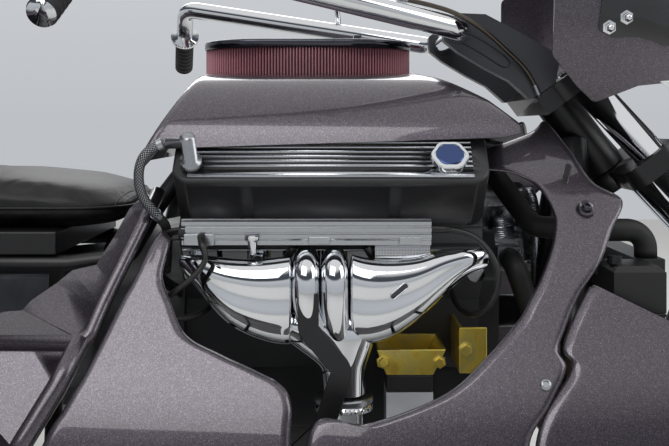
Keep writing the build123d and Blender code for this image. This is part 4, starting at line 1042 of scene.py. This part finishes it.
def pressurePad(piece, cap):
    # sewn cover filled from inside: cloth with pressure, each point kept within the cap of its start
    settings = {"voxel": 0.006, "pressure": 4.0, "mass": 0.4, "frames": 20}
    remesh = piece.modifiers.new("voxels", "REMESH")
    remesh.mode = "VOXEL"
    remesh.voxel_size = settings["voxel"]
    applyModifiers(piece)
    start = np.empty(3 * len(piece.data.vertices))
    piece.data.vertices.foreach_get("co", start)
    cloth = piece.modifiers.new("cover", "CLOTH")
    cloth.settings.use_pressure = True
    cloth.settings.uniform_pressure_force = settings["pressure"]
    cloth.settings.effector_weights.gravity = 0
    cloth.settings.mass = settings["mass"]
    scene = bpy.context.scene
    scene.frame_start, scene.frame_end = 1, settings["frames"]
    cloth.point_cache.frame_start, cloth.point_cache.frame_end = 1, settings["frames"]
    for step in range(1, settings["frames"] + 1):
        scene.frame_set(step)
    applyModifiers(piece)
    scene.frame_set(1)
    moved = np.empty_like(start)
    piece.data.vertices.foreach_get("co", moved)
    start, moved = start.reshape(-1, 3), moved.reshape(-1, 3)
    shift = moved - start
    far = np.linalg.norm(shift, axis=1, keepdims=True)
    piece.data.vertices.foreach_set("co", (start + shift * np.minimum(1, cap / np.maximum(far, 1e-9))).ravel())
    piece.data.update()
    piece.data.shade_smooth()


def padForm(name, spans, power, heights, crown=0.0):
    # superellipsoid |x/a|^p + |y/b|^p + |z/c|^q = 1 whose top and bottom follow heights given along x; the top
    # falls by the crown towards both sides
    settings = {"rows": 90, "columns": 140}
    phi = np.linspace(-np.pi / 2, np.pi / 2, settings["rows"])[:, None]
    a = turns(settings["columns"])[None]
    ring, up = ellipseShare(np.cos(phi), power[1]), ellipseShare(np.sin(phi), power[1])
    x = np.broadcast_to(ring * ellipseShare(np.cos(a), power[0]), (settings["rows"], settings["columns"]))
    y = ring * ellipseShare(np.sin(a), power[0])
    (x0, x1), (y0, y1) = spans
    xs = (x0 + x1) / 2 + (x1 - x0) / 2 * x
    ys = (y0 + y1) / 2 + (y1 - y0) / 2 * y
    places, tops, bottoms = np.asarray(heights, float).T
    top = np.interp(xs, places, tops) - crown * (2 * ys / (y1 - y0)) ** 2
    bottom = np.interp(xs, places, bottoms)
    zs = (top + bottom) / 2 + (top - bottom) / 2 * up
    return ringsPiece(name, metres(np.stack([xs, ys, zs], axis=-1)), leather)


def stitchRow(name, line, normals):
    # a short ridge along the seam for each stitch, highest in its middle
    settings = {"pitch": 0.0065, "half": 0.0024, "thread": 0.0009}
    reach = runLength(line)
    count = int(reach[-1] / settings["pitch"])
    middle = (np.arange(count) + 0.5) * settings["pitch"]
    places = (middle - settings["half"], middle + settings["half"], middle)
    head, tail, up = [np.stack([np.interp(s, reach, values[:, k]) for k in range(3)], axis=1)
                      for s, values in zip(places, (line, line, normals))]
    along = (tail - head) / np.linalg.norm(tail - head, axis=1, keepdims=True)
    wide = np.cross(along, up)
    shares = np.array([[0, 0, 0], [0.3, 1, 0.6], [0.3, -1, 0.6], [0.3, 0, 1.3],
                       [0.7, 1, 0.6], [0.7, -1, 0.6], [0.7, 0, 1.3], [1, 0, 0]])
    points = head[:, None] + (tail - head)[:, None] * shares[None, :, :1] + settings["thread"] * (
        wide[:, None] * shares[None, :, 1:2] + up[:, None] * shares[None, :, 2:3])
    one = np.array([[0, 1, 3], [0, 3, 2], [0, 2, 1], [1, 4, 6], [1, 6, 3], [3, 6, 5],
                    [3, 5, 2], [2, 5, 4], [2, 4, 1], [4, 7, 6], [6, 7, 5], [5, 7, 4]])
    faces = (one[None] + (np.arange(count) * len(shares))[:, None, None]).reshape(-1, 3)
    return faceOut(newPiece(name, points, faces, thread, "chassis"))


def pipedEdge(name, piece, centre, axes, reach, height):
    # welt round the cushion: rays from a ring at one height in to the cover, a 6 mm cord on what they hit
    a = turns(160)[:, None]
    u, v, w = np.asarray(axes, float)
    middle = np.asarray(centre) + w * height
    starts = middle + u * np.cos(a) * reach + v * np.sin(a) * reach
    line, normals = surfaceLine(piece, starts, middle - starts)
    line = np.vstack([line, line[:2]])
    return tubePiece(name, line, 0.003, leather, "chassis", 10, w)


def upholster(form, node):
    # filled pad in the place of its node, its cover smoothed once more
    soft = form.modifiers.new("smooth", "SUBSURF")
    soft.levels = soft.render_levels = 1
    standFor(form, node)


def leatherCushion(name, node, spans, power, heights, crown, seams, edgeHeight):
    # seams: lists of places over the cushion, sewn on the top cover
    form = padForm(name, spans, power, heights, crown)
    pressurePad(form, 0.008)
    sewing = []
    for k, seam in enumerate(seams):
        starts = metres(np.c_[np.asarray(seam, float), np.full(len(seam), rayStart)])
        line, normals = surfaceLine(form, starts, (0, 0, -1))
        sewing.append(stitchRow(f"{name}Seam{k}", line + normals * 0.0002, normals))
    centre = metres([sum(spans[0]) / 2, sum(spans[1]) / 2, 0])
    welt = pipedEdge(name + "Welt", form, centre, np.eye(3), 0.5, edgeHeight)
    upholster(form, node)
    trim(name + "Sewing", [welt] + sewing)


line = np.linspace(-1, 1, 60)
riderSeams = [np.c_[x - 14 * line ** 2, 160 * line] for x in (-366, -357)]
riderSeams.append(np.c_[np.full(60, -640.0), 175 * line])
riderHeights = [(-800, 744, 660), (-720, 748, 660), (-560, 746, 660), (-450, 736, 660), (-385, 722, 664),
                (-340, 712, 676)]
leatherCushion("riderCushion", "rider_seat", ((-797, -346), (-193, 193)), (4.6, 4.4), riderHeights, 20,
               riderSeams, 0.690)
pillionSeams = [np.c_[np.full(60, x), 165 * line] for x in (-1000.0, -1120.0)]
pillionHeights = [(-1240, 852, 784), (-1000, 856, 784), (-885, 846, 785)]
leatherCushion("pillionCushion", "passenger_seat", ((-1236, -889), (-184, 184)), (4.8, 4.4), pillionHeights, 18,
               pillionSeams, 0.815)
print("seats made")


def backrestPad():
    # upright pad, same recipe, with a welt in its own plane, on two bent stays
    settings = {"stayX": -1345, "stayY": 120, "stayFoot": 780.4, "stay": 0.008, "cap": 0.006}
    heights = [(-1330, 1126, 884), (-1262, 1126, 884)]
    form = padForm("backrestPad", ((-1326, -1266), (-166, 166)), (2.6, 4.2), heights)
    pressurePad(form, settings["cap"])
    axes = [[0, 1, 0], [0, 0, 1], [1, 0, 0]]
    pieces = [pipedEdge("backrestWelt", form, metres([-1296, 0, 1005]), axes, 0.4, 0.012)]
    foot = [(0, 0), (0, 0.022), (0.004, 0.022), (0.006, 0.012), (0.012, 0.010), (0.012, 0)]
    for y in (-settings["stayY"], settings["stayY"]):
        x, z = settings["stayX"], settings["stayFoot"]
        route = metres([(x, y, z), (x, y, 840), (x, y, 900), (-1342, y, 980), (-1334, y, 1058)])
        pieces.append(tubePiece("stay", smoothLine(route, 40), settings["stay"], chrome, "chassis", 20))
        pieces.append(revolved("foot", foot, metres([x, y, z]), (0, 0, 1), chrome, "chassis", 32))
    upholster(form, "backrest")
    standFor(mergePieces("backrestStays", pieces), "backrest")


backrestPad()
print("backrest made")


def fasteners():
    # bolts of the valve covers and of the mount brackets, five nuts on each rear hub
    settings = {"nuts": 5, "ring": 0.045, "hubY": 0.6995}
    covers, brackets = [], []
    for side in (1, -1):
        turned = np.array([1, side, 1])
        for x in (-137, 95):
            covers.append([*metres(onBank(x, -61, 337), side), *(-bankAcross * turned), 0.006, 0.006])
        for place, radius, height in (([78, -278, 452], 0.008, 0.007), ([168, -278, 452], 0.008, 0.007),
                                      ([212, -268, 470], 0.009, 0.010)):
            brackets.append([*metres(place, side), 0, -side, 0, radius, height])
    boltGroup("coverBolts", covers, steel, "chassis")
    boltGroup("bracketBolts", brackets, zinc, "chassis")
    for word, side in (("right", 1), ("left", -1)):
        rim, rows = "rear_rim_" + word, []
        for k in range(settings["nuts"]):
            a = 2 * math.pi * (k + 0.5) / settings["nuts"]
            x, z = rearAxleX + settings["ring"] * math.cos(a), rearAxleZ + settings["ring"] * math.sin(a)
            rows.append([x, -side * settings["hubY"], z, 0, -side, 0, 0.010, 0.014])
        boltGroup("hubNuts" + word.capitalize(), rows, chrome, bodyOfNode[rim])


fasteners()

buttonProfile = np.array([[0, -0.3], [1.0, -0.3], [1.0, 0.3], [0.9, 0.66], [0.72, 0.88], [0.55, 1.0],
                          [0.52, 0.5], [0, 0.5]])
acornProfile = np.array([[0, -0.2], [1.5, -0.2], [1.5, 0.06], [1.0, 0.1], [1.0, 0.55], [0.86, 0.62],
                         [0.84, 0.72], [0.66, 0.9], [0.36, 1.0], [0, 1.03]])


def faceBolts(name, node, piece, places, radius, height, material, profile=buttonProfile, sides=20):
    rows = []
    for side in (1, -1):
        points, normals = onFace(piece, places, side)
        rows += [[*point, *normal, radius, height] for point, normal in zip(points, normals)]
    boltGroup(name, rows, material, bodyOfNode[node], sides, profile)


faceBolts("armBolts", "side_arms", armSkins, [(301, 461)], 0.009, 0.005, steel)
faceBolts("bossBolts", "side_arms", armBosses, [(395, 702)], 0.0075, 0.006, darkChrome)
screenPlaces = [(445, 990), (473, 1006)]
faceBolts("screenNuts", "windscreen", nodes["windscreen"], screenPlaces, 0.008, 0.013, chrome, acornProfile, 6)
print("fasteners made")


def pleatedElement():
    # oval wall that swings in by the pleat depth: d*(|2 f - 1|^0.8 - 1), f the share of one pleat; U holds
    # the depth for the painted shade in the folds and the painted highlight on the ridges, darker towards the
    # flat ends, which close it
    settings = {"middle": -50, "half": (190.5, 113), "low": 914.3, "high": 970.7, "pleats": 172, "depth": 8.5,
                "steps": 8, "inner": (0.86, 0.80)}
    half = np.array(settings["half"])
    count = settings["pleats"] * settings["steps"]
    circle = lambda a: np.stack([np.cos(a), np.sin(a)], axis=1)
    fine = turns(6000)
    oval = circle(fine) * half
    reach = runLength(np.vstack([oval, oval[:1]]))
    a = np.interp(np.linspace(0, reach[-1], count, endpoint=False), reach, np.r_[fine, 2 * np.pi])
    share = (np.arange(count) % settings["steps"]) / settings["steps"]
    ridge = np.abs(2 * share - 1) ** 0.8
    outward = circle(a) / half
    outward /= np.linalg.norm(outward, axis=1, keepdims=True)
    wall = circle(a) * half + outward * (settings["depth"] * (ridge - 1))[:, None]
    levels = np.array([0, 0, 0.06, 0.94, 1, 1]) * (settings["high"] - settings["low"]) + settings["low"]
    shrink = np.array([0, 1, 1, 1, 1, 0])
    inner = circle(a) * half * settings["inner"]
    flat = inner[None] + (wall - inner)[None] * shrink[:, None, None]
    points = np.concatenate([flat, np.broadcast_to(levels[:, None, None], flat.shape[:2] + (1,))], axis=-1)
    points = metres(points + [settings["middle"], 0, 0])
    faces = gridFaces(6, count, closeColumns=True, closeRows=True)
    # painted shade in the folds and painted highlight on the ridges, darker towards the flat ends
    pleatShadeAndHighlight = np.broadcast_to(ridge, (6, count)) * np.array([0.3, 0.5, 1, 1, 0.5, 0.3])[:, None]
    uv = np.stack([pleatShadeAndHighlight, np.broadcast_to(levels[:, None], pleatShadeAndHighlight.shape)], axis=-1)
    piece = newPiece("pleatedElement", points, faces, gauze, "chassis", uv)
    piece.data.shade_smooth()
    standFor(piece, "air_filter_element")


pleatedElement()
print("filter made")


def loomBar(side):
    # extruded aluminium bar: ribs along its face, a stepped lower edge; clamp blocks, a thumb screw and a
    # perforated strip
    settings = {"x": (-240, 152), "back": -293, "front": -315.5, "strip": (64, 151)}
    face, back = settings["front"], settings["back"]
    z = np.array([684, 684, 681, 680, 674, 673, 671, 670, 664, 663, 661, 660, 654, 653, 650, 643, 643])
    y = np.array([back, face + 5, face + 3, face + 1.5, face + 1.5, face + 4, face + 4, face, face, face + 3.5,
                  face + 3.5, face, face, face + 3, face + 6, face + 6, back], float)
    profile = np.stack([y, z], axis=1)
    xs = np.repeat(settings["x"], 2)
    middle = np.tile(profile.mean(axis=0), (len(profile), 1))
    rings = np.stack([middle, profile, profile, middle])
    points = np.concatenate([np.broadcast_to(xs[:, None, None], rings.shape[:2] + (1,)), rings], axis=-1)
    pieces = [ringsPiece("bar", metres(points, side), brushed, 28)]
    small = (0.034, 0.005, 0.012)
    for x, z0, size in ((-212, 652, (0.048, 0.006, 0.018)), (-24, 651, small), (118, 651, small)):
        place = metres([x, face + 0.5, z0], side)
        pieces.append(slab("clampBlock", place, size, np.diag([1, side, 1]), brushed, "chassis", 0.0015))
    knob = [(-0.001, 0), (0, 0.0045), (0.002, 0.0055), (0.012, 0.0066), (0.021, 0.0082), (0.0225, 0.0112),
            (0.024, 0.0122), (0.029, 0.0122), (0.0305, 0.0108), (0.031, 0)]
    foot = metres([-127, face - 4, 630], side)
    pieces.append(revolved("thumbScrew", knob, foot, (-0.04, -0.1 * side, 1), chrome, "chassis", 40))
    strip = [[x, -302 - 1.2 * np.cos(b), 631.5 + 10.5 * np.sin(b)]
             for x in settings["strip"] for b in turns(24)]
    faces = gridFaces(2, 24, closeColumns=True).tolist() + [list(range(24)), list(range(24, 48))]
    pieces.append(faceOut(newPiece("strip", metres(strip, side), faces, perforated, "chassis"), 30))
    return mergePieces("wireLoom" + ("Right" if side > 0 else "Left"), pieces)


for side in (1, -1):
    standFor(loomBar(side), "wire_looms")
print("looms made")


def gripSleeves():
    # ribbed rubber sleeve over each end of the bar
    settings = {"length": 122, "radius": 0.0205, "rib": 0.0012, "ribs": 9, "count": 150,
                "start": (-357.0, -506.0, 1045.0)}
    aim = np.array([-13, -76, -55]) / np.linalg.norm([-13, -76, -55])
    run = aim * np.linspace(1, settings["length"], settings["count"])[:, None]
    share = np.linspace(0, 1, settings["count"])
    wave = np.clip(4 * np.cos(2 * np.pi * settings["ribs"] * share), -1, 1) * 0.5 + 0.5
    ends = np.sqrt(np.clip(1 - np.clip(1 - np.minimum(share, 1 - share) / 0.03, 0, 1) ** 2, 0, 1))
    radii = (settings["radius"] + settings["rib"] * wave) * (0.86 + 0.14 * ends)
    pieces = [tubePiece("sleeve", metres(settings["start"] + run, side), radii, rubber, "fork", 28, (1, 0, 0))
              for side in (1, -1)]
    trim("gripSleeves", pieces)


gripSleeves()


def headlampFront():
    # chrome bezel rolled round a fluted, domed lens
    settings = {"face": 752, "height": 985, "radius": 0.088, "dome": 0.009}
    place = metres([settings["face"], 0, settings["height"]])
    r = settings["radius"]
    bezel = [(-0.001, 0.0), (-0.001, r - 0.0005), (0.001, r), (0.005, r - 0.002), (0.0065, r - 0.006),
             (0.005, r - 0.010), (0.0, r - 0.0115), (0.0, 0.0)]
    dome = [(0.0005, 0.0), (0.0005, r - 0.011)]
    dome += [(0.0015 + settings["dome"] * math.sqrt(1 - f * f), (r - 0.012) * f) for f in np.linspace(1, 0, 10)]
    pieces = [revolved(name, profile, place, (1, 0, 0), material, "fork", 72)
              for name, profile, material in (("bezel", bezel, chrome), ("lens", dome, headlampGlass))]
    trim("headlampFront", pieces)


headlampFront()


def riserSlots():
    # milled slot on each riser's outer face: a dark bead round its outline, half sunk in the face, as painted
    # shade in the slot's groove
    outline = [(200, 993), (206, 998), (222, 995), (250, 983), (282, 962), (305, 943), (304, 934), (294, 930),
               (278, 940), (252, 958), (226, 972), (206, 980), (200, 986)]
    corners = np.array(outline + outline[:2], float)
    path = smoothLine(np.c_[corners[:, 0], np.zeros(len(corners)), corners[:, 1]], 160)[4:-4, [0, 2]]
    lines = [onFace(nodes["risers"], path, side)[0] for side in (1, -1)]
    pieces = [tubePiece("slotShadeEdge", edge, 0.0013, black, "fork", 10, (0, 1, 0)) for edge in lines]
    trim("riserSlots", pieces)


riserSlots()
print("bar fittings made")


def studioFloor():
    settings = {"size": 14.0, "colour": "#DDDDDA"}
    half = settings["size"] / 2
    mesh = bpy.data.meshes.new("studioFloor")
    corners = [(-half, -half, 0), (half, -half, 0), (half, half, 0), (-half, half, 0)]
    mesh.from_pydata(corners, [], [(0, 1, 2, 3)])
    mesh.materials.append(newMaterial("paleFloor", settings["colour"], Roughness=0.7)[0])
    placed("studioFloor", mesh)


def softLight(name, place, aim, size, power):
    lamp = bpy.data.lights.new(name, "AREA")
    lamp.shape = "RECTANGLE"
    lamp.size, lamp.size_y = size
    lamp.energy = power
    holder = placed(name, lamp)
    holder.location = place
    run = np.asarray(aim, float) - np.asarray(place, float)
    holder.rotation_euler = Vector(run).to_track_quat("-Z", "Y").to_euler()


def studioWorld():
    # pale round the horizon, where any camera sees it, a dark wall above it and a white ceiling
    world = bpy.data.worlds.new("studioWorld")
    bpy.context.scene.world = world
    world.use_nodes = True
    tree = world.node_tree
    background = tree.nodes["Background"]
    direction = addNode(tree, "ShaderNodeTexCoord").outputs["Generated"]
    parts = addNode(tree, "ShaderNodeSeparateXYZ", links={"Vector": direction})
    stops = [(0.0, "#CBCFD4"), (0.22, "#DCDFE3"), (0.30, "#4A4F56"), (0.52, "#585D65"), (0.70, "#FFFFFF")]
    tree.links.new(blendColours(tree, parts.outputs["Z"], stops), background.inputs["Color"])
    background.inputs["Strength"].default_value = 0.85


def photoCamera():
    settings = {"place": (engineX, -1.88, 0.83), "focalPixels": 1000.0, "width": 669.0, "horizonShift": -97.0}
    lens = bpy.data.cameras.new("photoCamera")
    lens.sensor_width = 36.0
    lens.lens = settings["focalPixels"] / settings["width"] * lens.sensor_width
    lens.shift_y = settings["horizonShift"] / settings["width"]
    lens.clip_start = 0.02
    camera = placed("photoCamera", lens)
    camera.location = settings["place"]
    camera.rotation_euler = (math.pi / 2, 0, 0)
    bpy.context.scene.camera = camera


studioFloor()
studioWorld()
softLight("keyLight", (engineX - 1.2, -3.4, 3.6), (engineX, 0, 0.6), (3.4, 2.4), 70)
softLight("fillLight", (engineX + 3.2, -1.2, 2.4), (engineX, 0, 0.6), (2.0, 2.0), 30)
softLight("backLight", (engineX - 0.5, 3.6, 3.0), (engineX, 0, 0.5), (3.0, 1.8), 55)
photoCamera()
bpy.context.scene.view_settings.view_transform = "Standard"
print("stage ready")
